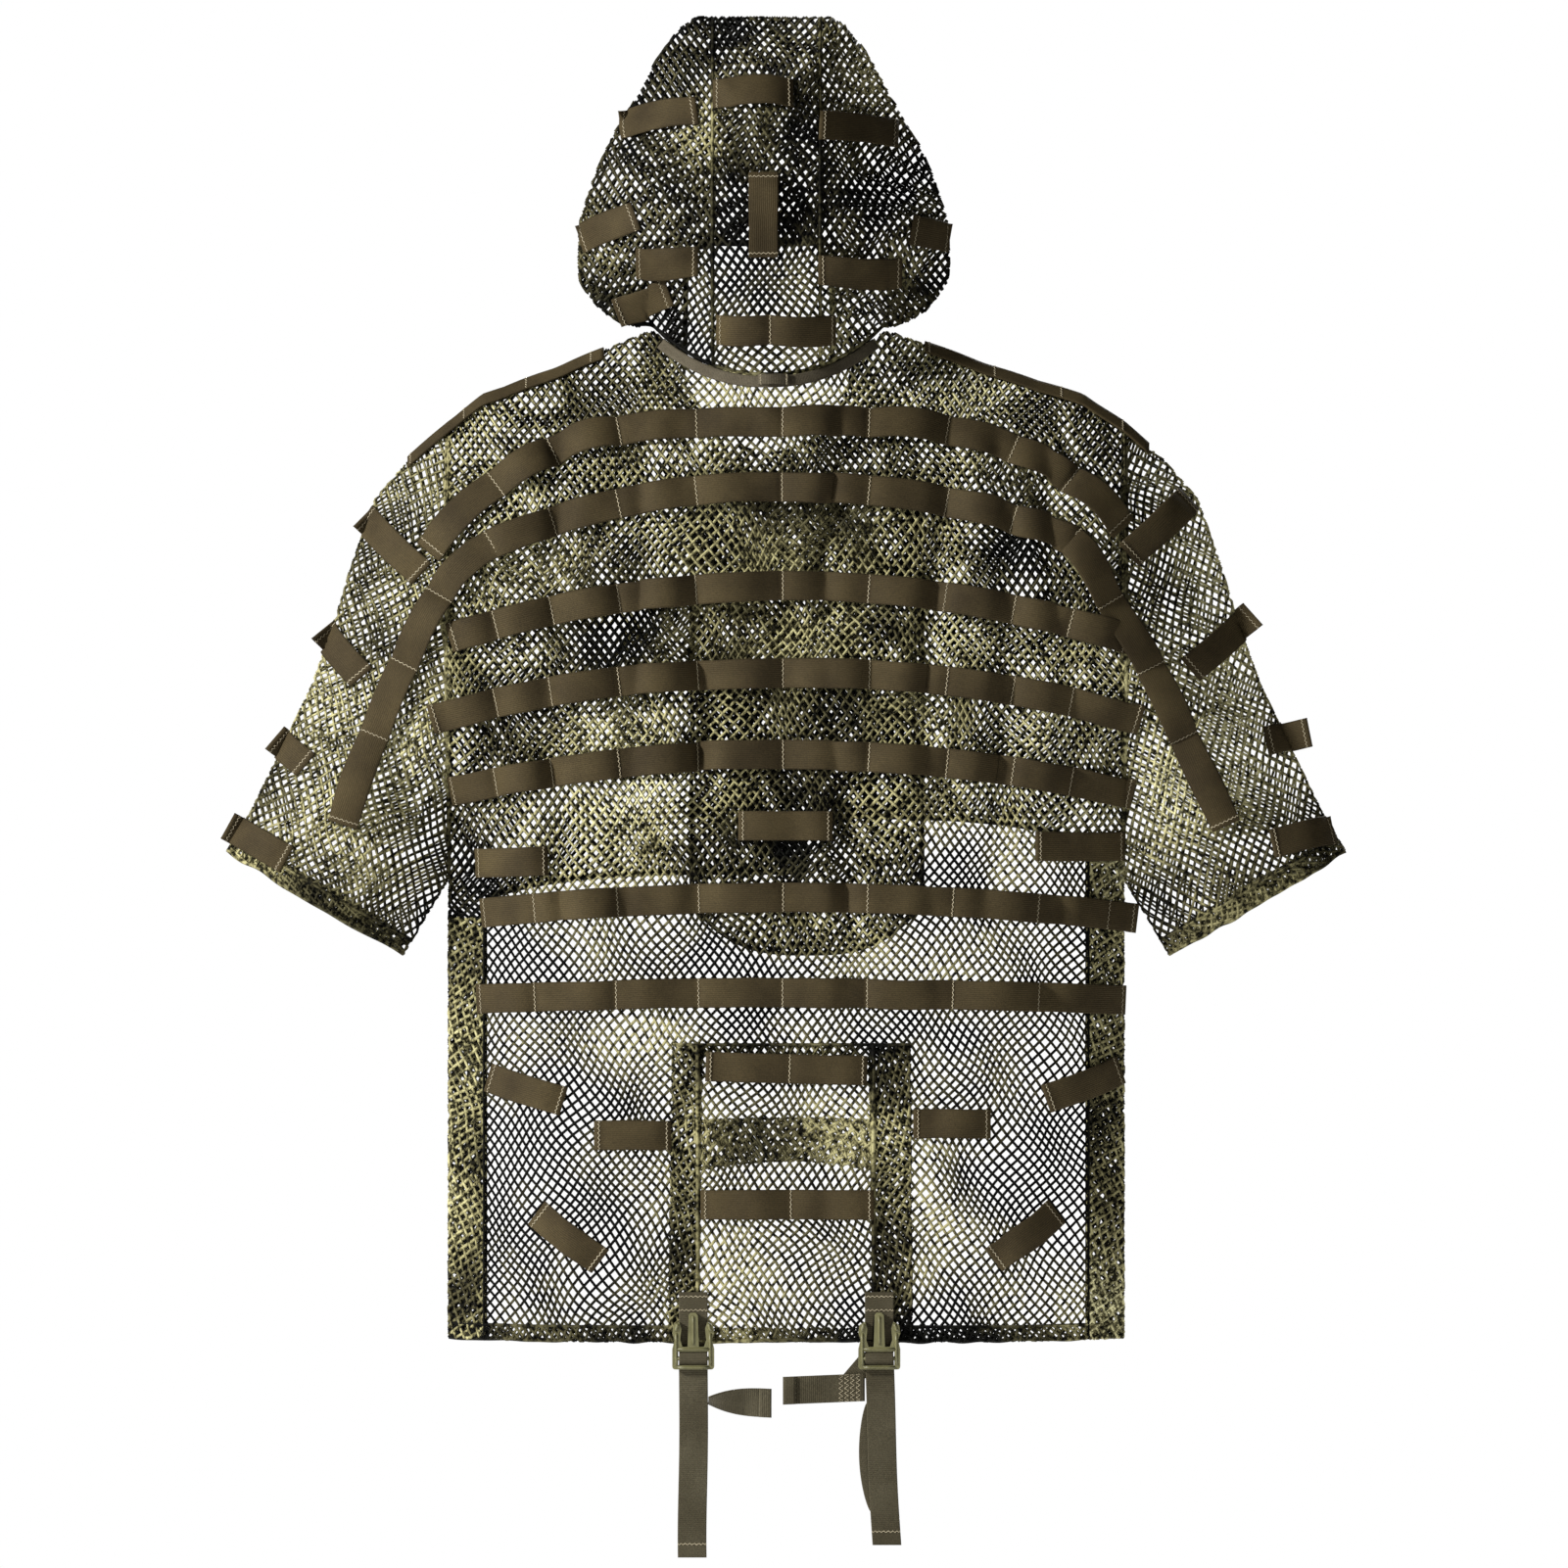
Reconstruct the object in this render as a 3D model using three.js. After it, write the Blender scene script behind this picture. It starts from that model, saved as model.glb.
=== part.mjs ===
// Net foundation garment of a ghillie suit, seen as it hangs on a wearer.
// Millimetres, +Z up. The wearer faces +Y, so the back of the suit faces -Y.
// Origin: centreline, level with the back neck seam, in the plane of the shoulder folds.
import * as THREE from 'three';

// ---- driving dimensions ----
const bodyHalf = 300; // half the body's width, side fold to side fold
const hemZ = -853; // bottom edge of the back
const shoulderZ = 43; // where the shoulder fold meets the neck
const armholeTopZ = -42; // where the shoulder fold meets the sleeve
const armpitZ = -445;
const sleeveInnerRun = 40; // how far the under-arm edge slants out from the armpit
const cuffInnerZ = -512;
const neckX = -16; // the neck opening sits this far off the centreline
const neckHalf = 103.5;
const neckRise = 43; // the back neckline rises this much from its middle to its ends
const hoodX = -20; // middle of the hood
const hoodTopZ = 321;
const hoodSeamLeft = -65; // the two seams that run over the hood
const hoodSeamRight = 30;
const faceLeft = -90; // the face opening in the hood's front
const faceRight = 41;
const faceTopZ = 125;
const bodyDepth = 70; // the back stands this far behind the plane of the folds
const bodyReach = 150; // distance from a fold over which the body swells to its depth
const armReach = 220; // height above the armpit over which the side fold opens out
const hoodDepth = 90;
const hoodReach = 140;
const hoodBend = 70; // height over which the hood's levels follow the neck's U
const hoodEase = 110; // height over which the hood grows from the neck's depth to its own
const netThickness = 2; // net, from the front of its knots to the back
const webWidth = 25.4;
const webThickness = 1.5;
const foldGap = 0.2; // half the gap between the two layers where they fold
const seamGap = 0.3; // half the gap between two panels that are sewn edge to edge
const layClearance = 0.5; // clearance under whatever lies on the net
const stripWidth = 32; // the front's side strips, which run down to the hem
const yokeLeftZ = -440; // lower edges of the short front
const yokeRightZ = -390;
const chestFlap = { left: -85, right: 122, topZ: -80, bottomZ: -513 };
const tailFlap = { left: -100, right: 109, topZ: -591, overlap: 22 };
const buckle = { width: 37, height: 50, overlap: 26, thickness: 5, clearance: 0.4 };
const buckleTopZ = hemZ + buckle.overlap; // the buckle's upper part lies over the hem
const buckleBottomZ = buckleTopZ - buckle.height;
const buckleX = 82; // each buckle's distance from the centreline
const strapRunLeft = 166; // from the buckle's lower edge to the strap's end
const strapRunRight = 155;

// ---- outlines: the closed folds, listed from the neck outwards ----
// Share of the run from neck to armhole, then height.
const shoulderShape = [[0, shoulderZ], [0.44, 8], [0.83, -18], [1, armholeTopZ]];
// Distance out from the armhole, then height, down the sleeve's outer fold.
const sleeveShape = [
  [0, armholeTopZ], [35, -72], [66, -108], [86, -165], [103, -221], [122, -273],
  [147, -326], [177, -387], [197, -420],
];
const hoodRimZ = 48; // height of the hood's lower corners
/** Height of a share of the way up the hood, from its lower corners to its top. */
const hoodAt = (share) => hoodRimZ + share * (hoodTopZ - hoodRimZ);
// Share of the way up, then half width, up each side of the hood.
const hoodShape = [
  [0, 141], [0.044, 150], [0.117, 163], [0.205, 165], [0.341, 163], [0.476, 151],
  [0.608, 135], [0.744, 112], [0.875, 93], [0.971, 73], [1, 60],
].map(([share, half]) => [hoodAt(share), half]);

/** Reads y at x from a list of [x, y], straight between neighbours and flat past the ends. */
function along(list, x) {
  if (x <= list[0][0]) return list[0][1];
  for (let i = 1; i < list.length; i += 1) {
    const [x0, y0] = list[i - 1];
    const [x1, y1] = list[i];
    if (x <= x1) return y0 + ((y1 - y0) * (x - x0)) / (x1 - x0);
  }
  return list[list.length - 1][1];
}

/** Height of the shoulder fold at x, on either side of the neck. */
function shoulderLine(x) {
  const start = x < neckX ? neckHalf - neckX : neckHalf + neckX;
  return along(shoulderShape, (Math.abs(x) - start) / (bodyHalf - start));
}

/** Top edge of the back panel: the U of the neck, then the shoulder fold. */
function backTop(x) {
  const share = Math.abs(x - neckX) / neckHalf;
  return share < 1 ? neckRise * share ** 2.2 : shoulderLine(x);
}

/** Top edge of the front: it leaves the back's U near its ends and dips at the throat. */
function frontTop(x) {
  const share = Math.abs(x - neckX) / (neckHalf * 0.72);
  if (share >= 1) return backTop(x);
  const corner = backTop(neckX + neckHalf * 0.72);
  return corner - 84 * Math.sqrt(1 - share ** 2);
}

/** Lower edge of the hood, just above the neck seam and clear of the shoulders. */
function hoodRim(x) {
  const share = Math.min(Math.abs(x - neckX) / neckHalf, 1);
  return 2 * seamGap + (hoodRimZ - 2 * seamGap) * share ** 2.2;
}

/** The fold over one shoulder and down that sleeve's outer edge. */
function upperFold(side) {
  const start = neckHalf + side * neckX;
  const shoulder = shoulderShape.map(([s, z]) => [side * (start + s * (bodyHalf - start)), z]);
  const sleeve = sleeveShape.map(([out, z]) => [side * (bodyHalf + out), z]);
  return [...shoulder, ...sleeve.slice(1)];
}

const bodyFolds = [upperFold(1), upperFold(-1)];
const hoodFolds = [[
  ...hoodShape.map(([z, half]) => [hoodX - half, z]),
  ...hoodShape.map(([z, half]) => [hoodX + half, z]).reverse(),
]];

function distanceToFolds(x, z, chains) {
  let best = Infinity;
  for (const chain of chains) {
    for (let i = 1; i < chain.length; i += 1) {
      const [ax, az] = chain[i - 1];
      const dx = chain[i][0] - ax;
      const dz = chain[i][1] - az;
      const share = ((x - ax) * dx + (z - az) * dz) / (dx * dx + dz * dz);
      const t = Math.min(Math.max(share, 0), 1);
      best = Math.min(best, Math.hypot(x - ax - t * dx, z - az - t * dz));
    }
  }
  return best;
}

/** Rises from 0 at a fold to 1 where the cloth no longer feels it. */
function swell(distance, reach) {
  const t = Math.min(distance / reach, 1);
  return t * (2 - t);
}

/** How far body and sleeve cloth stands from the plane of the folds. */
function bodyOut(x, z) {
  const below = Math.max(armpitZ - z, 0);
  const underArm = bodyHalf + (sleeveInnerRun * below) / (armpitZ - cuffInnerZ);
  const fromBody = bodyHalf - Math.abs(x);
  const fromSide = fromBody >= 0 ? fromBody : Math.max(Math.abs(x) - underArm, 0);
  const t = Math.min(Math.max((z - armpitZ) / armReach, 0), 1);
  const openArm = t * t * (3 - 2 * t);
  const side = 1 - (1 - swell(fromSide, bodyReach)) * (1 - openArm);
  return foldGap + bodyDepth * side * swell(distanceToFolds(x, z, bodyFolds), bodyReach);
}

/** The same for the hood, which starts as deep as the neck that it is sewn to. */
function hoodOut(x, z) {
  const full = hoodDepth * swell(distanceToFolds(x, z, hoodFolds), hoodReach);
  const inNeck = Math.abs(x - neckX) < neckHalf;
  const atRim = inNeck ? bodyOut(x, backTop(x)) - foldGap : 0;
  return foldGap + atRim + (full - atRim) * swell(z - hoodRim(x), hoodEase);
}

// ---- solids ----

/** Closed skin between two grids of points: outer[row][column] and inner, row by row. */
function skin(outer, inner, closed = false) {
  const rows = outer.length;
  const columns = outer[0].length;
  const points = [...outer.flat(), ...inner.flat()];
  const half = rows * columns;
  const faces = [];
  const quad = (a, b, c, d) => faces.push(a, b, c, a, c, d);
  const at = (r, c, layer) => layer * half + r * columns + (c % columns);
  const spans = closed ? columns : columns - 1;
  for (let r = 0; r < rows - 1; r += 1) {
    for (let c = 0; c < spans; c += 1) {
      quad(at(r, c, 0), at(r, c + 1, 0), at(r + 1, c + 1, 0), at(r + 1, c, 0));
      quad(at(r, c, 1), at(r + 1, c, 1), at(r + 1, c + 1, 1), at(r, c + 1, 1));
    }
  }
  for (let c = 0; c < spans; c += 1) {
    quad(at(0, c, 0), at(0, c, 1), at(0, c + 1, 1), at(0, c + 1, 0));
    const r = rows - 1;
    quad(at(r, c, 0), at(r, c + 1, 0), at(r, c + 1, 1), at(r, c, 1));
  }
  for (let r = 0; !closed && r < rows - 1; r += 1) {
    quad(at(r, 0, 0), at(r + 1, 0, 0), at(r + 1, 0, 1), at(r, 0, 1));
    const c = columns - 1;
    quad(at(r, c, 0), at(r, c, 1), at(r + 1, c, 1), at(r + 1, c, 0));
  }
  if (signedVolume(points, faces) < 0) faces.reverse();
  const geometry = new THREE.BufferGeometry();
  geometry.setAttribute('position', new THREE.Float32BufferAttribute(points.flat(), 3));
  geometry.setIndex(faces);
  geometry.computeVertexNormals();
  return geometry;
}

function signedVolume(points, faces) {
  let sum = 0;
  for (let i = 0; i < faces.length; i += 3) {
    const [a, b, c] = [0, 1, 2].map((k) => new THREE.Vector3(...points[faces[i + k]]));
    sum += a.dot(b.cross(c));
  }
  return sum / 6;
}

/** A panel over columns of x, from top(x) to bottom(x), on the back (-1) or front (1). */
function panel({ columns, shares, top, bottom, out, side, lift = 0, thickness = netThickness }) {
  const layer = (extra) => shares.map((share) => columns.map((x) => {
    const z = top(x) + (bottom(x) - top(x)) * share;
    return [x, side * (out(x, z) + lift + extra), z];
  }));
  return skin(layer(thickness), layer(0));
}

/** The triangles of pieces already made, seen along y, with their heights on one side. */
function cover(names, side) {
  const triangles = [];
  for (const name of names) {
    const { geometry } = made[name];
    const { array } = geometry.getAttribute('position');
    const index = geometry.getIndex().array;
    for (let i = 0; i < index.length; i += 3) {
      const [a, b, c] = [0, 1, 2].map((k) => {
        const at = index[i + k] * 3;
        return [array[at], array[at + 2], side * array[at + 1]];
      });
      const area = (b[0] - a[0]) * (c[1] - a[1]) - (c[0] - a[0]) * (b[1] - a[1]);
      if (Math.abs(area) > 1e-6 && Math.max(a[2], b[2], c[2]) > 0) triangles.push([a, b, c, area]);
    }
  }
  return triangles;
}

/** The highest of some triangles at a point, or -Infinity beside them all. */
function heightAt(triangles, x, z) {
  let best = -Infinity;
  for (const [a, b, c, area] of triangles) {
    const u = ((x - a[0]) * (c[1] - a[1]) - (c[0] - a[0]) * (z - a[1])) / area;
    const v = ((b[0] - a[0]) * (z - a[1]) - (x - a[0]) * (b[1] - a[1])) / area;
    if (u >= 0 && v >= 0 && u + v <= 1) {
      best = Math.max(best, a[2] + u * (b[2] - a[2]) + v * (c[2] - a[2]));
    }
  }
  return best;
}

/** How far rows of [x, z] points at heights out(x, z) are lifted to lie on other pieces. */
function seat(rows, out, on, side) {
  const xs = rows.flat().map(([x]) => x);
  const zs = rows.flat().map(([, z]) => z);
  const near = cover(on, side).filter((triangle) => {
    const corners = triangle.slice(0, 3);
    return Math.min(...corners.map((p) => p[0])) <= Math.max(...xs)
      && Math.max(...corners.map((p) => p[0])) >= Math.min(...xs)
      && Math.min(...corners.map((p) => p[1])) <= Math.max(...zs)
      && Math.max(...corners.map((p) => p[1])) >= Math.min(...zs);
  });
  const steps = [0, 0.2, 0.4, 0.6, 0.8, 1];
  let lift = -Infinity;
  for (let r = 0; r < rows.length - 1; r += 1) {
    for (let c = 0; c < rows[r].length - 1; c += 1) {
      const corners = [rows[r][c], rows[r + 1][c], rows[r + 1][c + 1], rows[r][c + 1]]
        .map(([x, z]) => [x, z, out(x, z)]);
      for (const u of steps) {
        for (const v of steps) {
          const shares = [(1 - u) * (1 - v), u * (1 - v), u * v, (1 - u) * v];
          const [x, z, y] = [0, 1, 2]
            .map((k) => corners.reduce((sum, corner, i) => sum + corner[k] * shares[i], 0));
          lift = Math.max(lift, heightAt(near, x, z) - y);
        }
      }
    }
  }
  return lift + layClearance;
}

/** Webbing along [x, z] points, lying on the named pieces. */
function band(path, { out, on, side = -1, width = webWidth, thickness = webThickness }) {
  const ends = path.map(([x, z], i) => {
    const [ax, az] = path[Math.max(i - 1, 0)];
    const [bx, bz] = path[Math.min(i + 1, path.length - 1)];
    const length = Math.hypot(bx - ax, bz - az);
    const nx = (-(bz - az) / length) * (width / 2);
    const nz = ((bx - ax) / length) * (width / 2);
    return [[x + nx, z + nz], [x, z], [x - nx, z - nz]];
  });
  const lift = seat(ends, out, on, side);
  const layer = (extra) => ends.map((row) => row.map(
    ([x, z]) => [x, side * (out(x, z) + lift + extra), z],
  ));
  return skin(layer(thickness), layer(0));
}

/** Straight webbing: its middle, its slope in degrees and its length. */
function strip([x, z], degrees, length, options, pieces = 4) {
  const c = Math.cos(THREE.MathUtils.degToRad(degrees));
  const s = Math.sin(THREE.MathUtils.degToRad(degrees));
  const path = Array.from({ length: pieces + 1 }, (_, i) => {
    const t = length * (i / pieces - 0.5);
    return [x + t * c, z + t * s];
  });
  return band(path, options);
}

function spread(from, to, count) {
  return Array.from({ length: count + 1 }, (_, i) => from + ((to - from) * i) / count);
}

// ---- materials ----
const netCloth = new THREE.MeshStandardMaterial({ color: 0x8a8658, roughness: 0.9 });
const webbing = new THREE.MeshStandardMaterial({ color: 0x4d4430, roughness: 0.8 });
const strapWebbing = new THREE.MeshStandardMaterial({ color: 0x5a5540, roughness: 0.8 });
const tape = new THREE.MeshStandardMaterial({ color: 0x6b6450, roughness: 0.85 });
const plastic = new THREE.MeshStandardMaterial({ color: 0x55522e, roughness: 0.5 });

const suit = new THREE.Group();
const hood = new THREE.Group();
suit.add(hood);

const made = {}; // every piece so far, by name

function add(name, geometry, material, parent = suit) {
  const mesh = new THREE.Mesh(geometry, material);
  mesh.name = name;
  made[name] = mesh;
  parent.add(mesh);
}

// ---- net: back, front, chest flap, tail flap ----
const onNet = netThickness + layClearance; // lift of what lies on one layer of net
const sideColumns = [0, 14, 32, 56, 84, 116, 152];
const tailInLeft = tailFlap.left + tailFlap.overlap; // edges of the gap that the flap fills
const tailInRight = tailFlap.right - tailFlap.overlap - 9;
const neckColumns = [-1, -0.9, -0.74, -0.5, -0.2, 0.2, 0.5, 0.74, 0.9, 1]
  .map((s) => neckX + s * neckHalf);

function backColumns() {
  const inner = bodyHalf - sideColumns[sideColumns.length - 1];
  const notch = [tailInLeft - 1, tailInLeft, tailInRight, tailInRight + 1];
  const middle = [...neckColumns, ...notch].filter((x) => Math.abs(x) < inner - 4);
  const left = sideColumns.map((d) => seamGap + d - bodyHalf);
  return [...left, ...middle, ...left.map((x) => -x)].sort((a, b) => a - b);
}

const backShares = [
  0, 0.03, 0.075, 0.14, 0.2, 0.27, 0.33, 0.38, 0.42, 0.455, 0.49, 0.52, 0.6, 0.8, 1,
];
add('back_panel', panel({
  columns: backColumns(),
  shares: backShares,
  top: backTop,
  bottom: (x) => (x >= tailInLeft && x <= tailInRight ? tailFlap.topZ - 14 : hemZ),
  out: bodyOut,
  side: -1,
}), netCloth);

function addFront(name, side, columns, yokeZ) {
  const stripInner = bodyHalf - stripWidth;
  const strips = [0, 14, stripWidth, stripWidth + 1, 56, 84, 116, 152];
  const all = [...strips.map((d) => side * (bodyHalf - seamGap - d)), ...columns];
  add(name, panel({
    columns: all.sort((a, b) => a - b),
    shares: [0, 0.05, 0.12, 0.22, 0.36, 0.5, 0.7, 0.85, 1],
    top: frontTop,
    bottom: (x) => (Math.abs(x) > stripInner - 0.5 ? hemZ : yokeZ - 35 * (x / bodyHalf) ** 4),
    out: bodyOut,
    side: 1,
  }), netCloth);
}

const frontSplit = (chestFlap.left + chestFlap.right) / 2; // the front closes here
addFront('front_left', -1, [-119.5, -105, -91, -75, -50, -16, 3, frontSplit - seamGap], yokeLeftZ);
addFront('front_right', 1, [frontSplit + seamGap, 40, 59, 74, 87.5, 105, 128], yokeRightZ);

const chestSag = 0.5; // the front's facets stand this far off the smooth cloth under the flap
add('chest_flap', panel({
  columns: spread(chestFlap.left, chestFlap.right, 12),
  shares: [0, 0.1, 0.22, 0.4, 0.65, 0.9, 1],
  top: () => chestFlap.topZ,
  bottom: (x) => {
    const half = (chestFlap.right - chestFlap.left) / 2;
    return chestFlap.bottomZ + 45 * Math.abs((x - frontSplit) / half) ** 3;
  },
  out: bodyOut,
  side: 1,
  lift: onNet + chestSag,
}), netCloth);

add('tail_flap', panel({
  columns: spread(tailFlap.left, tailFlap.right, 8),
  shares: [0, 0.35, 0.7, 1],
  top: () => tailFlap.topZ,
  bottom: () => hemZ,
  out: bodyOut,
  side: -1,
  lift: onNet,
}), netCloth);

// ---- sleeves: a tube from the armhole to the cuff, flat at its two folds ----
function sleeve(side) {
  const shares = [0, 0.06, 0.16, 0.3, 0.5, 0.7, 0.84, 0.94, 1];
  const start = bodyHalf + seamGap;
  const runs = sleeveShape.length - 1;
  const ring = (r, extra, inset) => {
    const [out, outerZ] = sleeveShape[r];
    const step = r / runs;
    const inner = [start + sleeveInnerRun * step, armpitZ + (cuffInnerZ - armpitZ) * step];
    const outer = [start + out, outerZ];
    const length = Math.hypot(outer[0] - inner[0], outer[1] - inner[1]);
    const place = (share, face) => {
      const t = inset / length + share * (1 - (2 * inset) / length);
      const x = side * (inner[0] + (outer[0] - inner[0]) * t);
      const z = inner[1] + (outer[1] - inner[1]) * t;
      return [x, face * (bodyOut(x, z) + extra), z];
    };
    const back = shares.map((s) => place(s, -1));
    const front = shares.map((s) => place(s, 1)).reverse();
    return [...back, ...front];
  };
  const rings = sleeveShape.map((_, r) => r);
  return skin(
    rings.map((r) => ring(r, netThickness, 0)),
    rings.map((r) => ring(r, 0, netThickness)),
    true,
  );
}

add('sleeve_left', sleeve(-1), netCloth);
add('sleeve_right', sleeve(1), netCloth);

// ---- hood: two side panels that wrap to the face opening, and a strip over the top ----
/** Height on the hood at a level: level higher up, and bent down to the rim at the neck. */
function hoodHeight(x, level) {
  const nearRim = Math.max(1 - (level - hoodRimZ) / hoodBend, 0);
  return level - (hoodRimZ - hoodRim(x)) * nearRim;
}

const hoodLevels = [
  ...[0, 0.051, 0.11, 0.183].map(hoodAt), faceTopZ - 3, faceTopZ + 3,
  ...[0.374, 0.476, 0.608, 0.744, 0.875, 0.952, 1].map(hoodAt),
];

function hoodSide(side, seam, faceEdge) {
  const shares = [0, 0.25, 0.5, 0.74, 0.9, 1];
  const ring = (level, extra, inset) => {
    const edge = hoodX + side * (along(hoodShape, level) - inset);
    const frontEnd = level < faceTopZ ? faceEdge : seam;
    const place = (x, face) => {
      const z = hoodHeight(x, level);
      return [x, face * (hoodOut(x, z) + extra), z];
    };
    const back = shares.map((s) => place(seam + side * seamGap + (edge - seam) * s, -1));
    const front = shares.map((s) => place(frontEnd + side * seamGap + (edge - frontEnd) * s, 1));
    return [...back, ...front.reverse()];
  };
  return skin(
    hoodLevels.map((level) => ring(level, netThickness, 0)),
    hoodLevels.map((level) => ring(level, 0, netThickness)),
  );
}

function hoodCenter() {
  const columns = spread(hoodSeamLeft + seamGap, hoodSeamRight - seamGap, 4);
  const front = hoodLevels.filter((level) => level > faceTopZ).reverse();
  const place = (x, level, face, extra, inset) => {
    const z = hoodHeight(x, level) - (level === hoodTopZ ? inset : 0);
    return [x, face * (hoodOut(x, z) + extra), z];
  };
  const layer = (extra, inset) => [
    ...hoodLevels.map((level) => columns.map((x) => place(x, level, -1, extra, inset))),
    ...front.map((level) => columns.map((x) => place(x, level, 1, extra, inset))),
  ];
  return skin(layer(netThickness, 0), layer(0, netThickness));
}

add('hood_side_left', hoodSide(-1, hoodSeamLeft, faceLeft), netCloth, hood);
add('hood_center', hoodCenter(), netCloth, hood);
add('hood_side_right', hoodSide(1, hoodSeamRight, faceRight), netCloth, hood);

// ---- neck: binding tape over the seam, and the loop that the suit hangs by ----
const tapeWidth = 9;
const tapeDrop = 6; // middle of the tape below the neck's edge
const tapePath = spread(-0.92, 0.92, 14).map((s) => {
  const x = neckX + s * neckHalf;
  return [x, backTop(x) - tapeDrop];
});
const onBody = { out: bodyOut, on: ['back_panel', 'sleeve_left', 'sleeve_right'] };
add('neck_tape', band(tapePath, { ...onBody, width: tapeWidth, thickness: 1 }), tape);
add('hang_loop', strip([neckX + 5, -tapeDrop + 2], 0, 28, {
  out: bodyOut, on: ['back_panel', 'neck_tape'], width: 8, thickness: 1.2,
}), tape);

// ---- webbing rows across the back: middle height, drop at the side fold and its power,
// and how far each end runs past the side fold ----
const rows = [
  { z: -42, drop: 95, power: 3.5, left: 16, right: -2 },
  { z: -99, drop: 70, power: 2.2, left: -34, right: -38 },
  { z: -186, drop: 47, power: 2, left: -3, right: 3 },
  { z: -263, drop: 37, power: 2.2, left: 14, right: 14 },
  { z: -335, drop: 33, power: 2, left: -2, right: 8 },
  { z: -461, drop: 18, power: 2, left: -30, right: 12 },
  { z: -545, drop: 8, power: 2, left: -26, right: 1 },
];
const rowPieces = 24;
rows.forEach(({ z, drop, power, left, right }, i) => {
  const path = spread(-bodyHalf - left, bodyHalf + right, rowPieces)
    .map((x) => [x, z - drop * Math.abs(x / bodyHalf) ** power]);
  add(`webbing_row_${i + 1}`, band(path, onBody), webbing);
});
const onTail = { out: bodyOut, on: ['back_panel', 'tail_flap'] };
add('webbing_row_8', strip([0, -612], -1.5, 142, onTail), webbing);
add('webbing_row_9', strip([1, -732], 0, 152, onTail), webbing);

// ---- webbing down the sleeves, over the ends of the rows: out from the side fold, height ----
const sleeveWebLeft = [
  [-44, -147], [-26, -158], [-7, -175], [7, -197], [22, -226], [40, -261],
  [55, -296], [70, -332], [82, -365], [92, -397],
];
const sleeveWebRight = [
  [-52, -142], [-38, -158], [-28, -176], [-17, -196], [0, -224], [18, -252],
  [37, -290], [55, -328], [73, -364], [89, -398],
];
const onRows = { ...onBody, on: [...onBody.on, ...rows.map((_, i) => `webbing_row_${i + 1}`)] };
const outFrom = (side, path) => path.map(([out, z]) => [side * (bodyHalf + out), z]);
add('sleeve_webbing_left', band(outFrom(-1, sleeveWebLeft), onRows), webbing);
add('sleeve_webbing_right', band(outFrom(1, sleeveWebRight), onRows), webbing);

// ---- webbing folded over each shoulder fold ----
const foldLift = 2; // the webbing stands this far above the shoulder fold
const onFold = netThickness + 1; // and this far off the cloth below it

/** From and to are measured out from the side fold. */
function shoulderWebbing(side, from, to) {
  const reach = webWidth / 2 - 3;
  const xs = spread(bodyHalf + from, bodyHalf + to, 9);
  const line = (x) => {
    const out = Math.abs(x) - bodyHalf;
    return out > 0 ? along(sleeveShape, out) : shoulderLine(side * Math.abs(x));
  };
  const section = (x, extra) => {
    const top = line(side * x) + foldLift + extra;
    const low = line(side * x) - reach;
    const wide = bodyOut(side * x, low) + onFold + extra;
    const narrow = foldGap + onFold + 1.5 + extra;
    return [[-wide, low], [-narrow, top], [narrow, top], [wide, low]]
      .map(([y, z]) => [side * x, y, z]);
  };
  return skin(xs.map((x) => section(x, webThickness)), xs.map((x) => section(x, 0)));
}

add('shoulder_webbing_left', shoulderWebbing(-1, -138, 36), webbing);
add('shoulder_webbing_right', shoulderWebbing(1, -177, 22), webbing);

// ---- single loops: middle, slope in degrees, length ----
const sideLoops = { // these follow the side fold: their middles are given out from it
  back_loop_left: [[-57, -430], 2, 64],
  back_loop_right: [[-40, -416], 0, 80],
  hem_loop_left_1: [[-70, -631], -17, 70],
  hem_loop_right_1: [[-37, -627], 20, 72],
  sleeve_loop_left_1: [[49, -149], -44, 75],
  sleeve_loop_left_2: [[94, -245], -50, 56],
  sleeve_loop_left_3: [[140, -332], -40, 38],
  sleeve_loop_left_4: [[169, -413], -29, 62],
  sleeve_loop_right_1: [[30, -133], 43, 75],
  sleeve_loop_right_2: [[86, -235], 41, 76],
  sleeve_loop_right_3: [[145, -319], 12, 40],
  sleeve_loop_right_4: [[158, -408], 12, 58],
};
for (const [name, [middle, slope, length]] of Object.entries(sideLoops)) {
  const [place] = outFrom(name.includes('left') ? -1 : 1, [middle]);
  add(name, strip(place, slope, length, onBody), webbing);
}

const middleLoops = {
  back_loop_center: [[-1, -398], 0, 82],
  hem_loop_left_2: [[-135.5, -671], 0, 67],
  hem_loop_left_3: [[-192, -761], -37, 70],
  hem_loop_right_2: [[146, -661], 0, 68],
  hem_loop_right_3: [[211, -760], 37, 70],
};
for (const [name, [middle, slope, length]] of Object.entries(middleLoops)) {
  add(name, strip(middle, slope, length, onBody), webbing);
}

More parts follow.
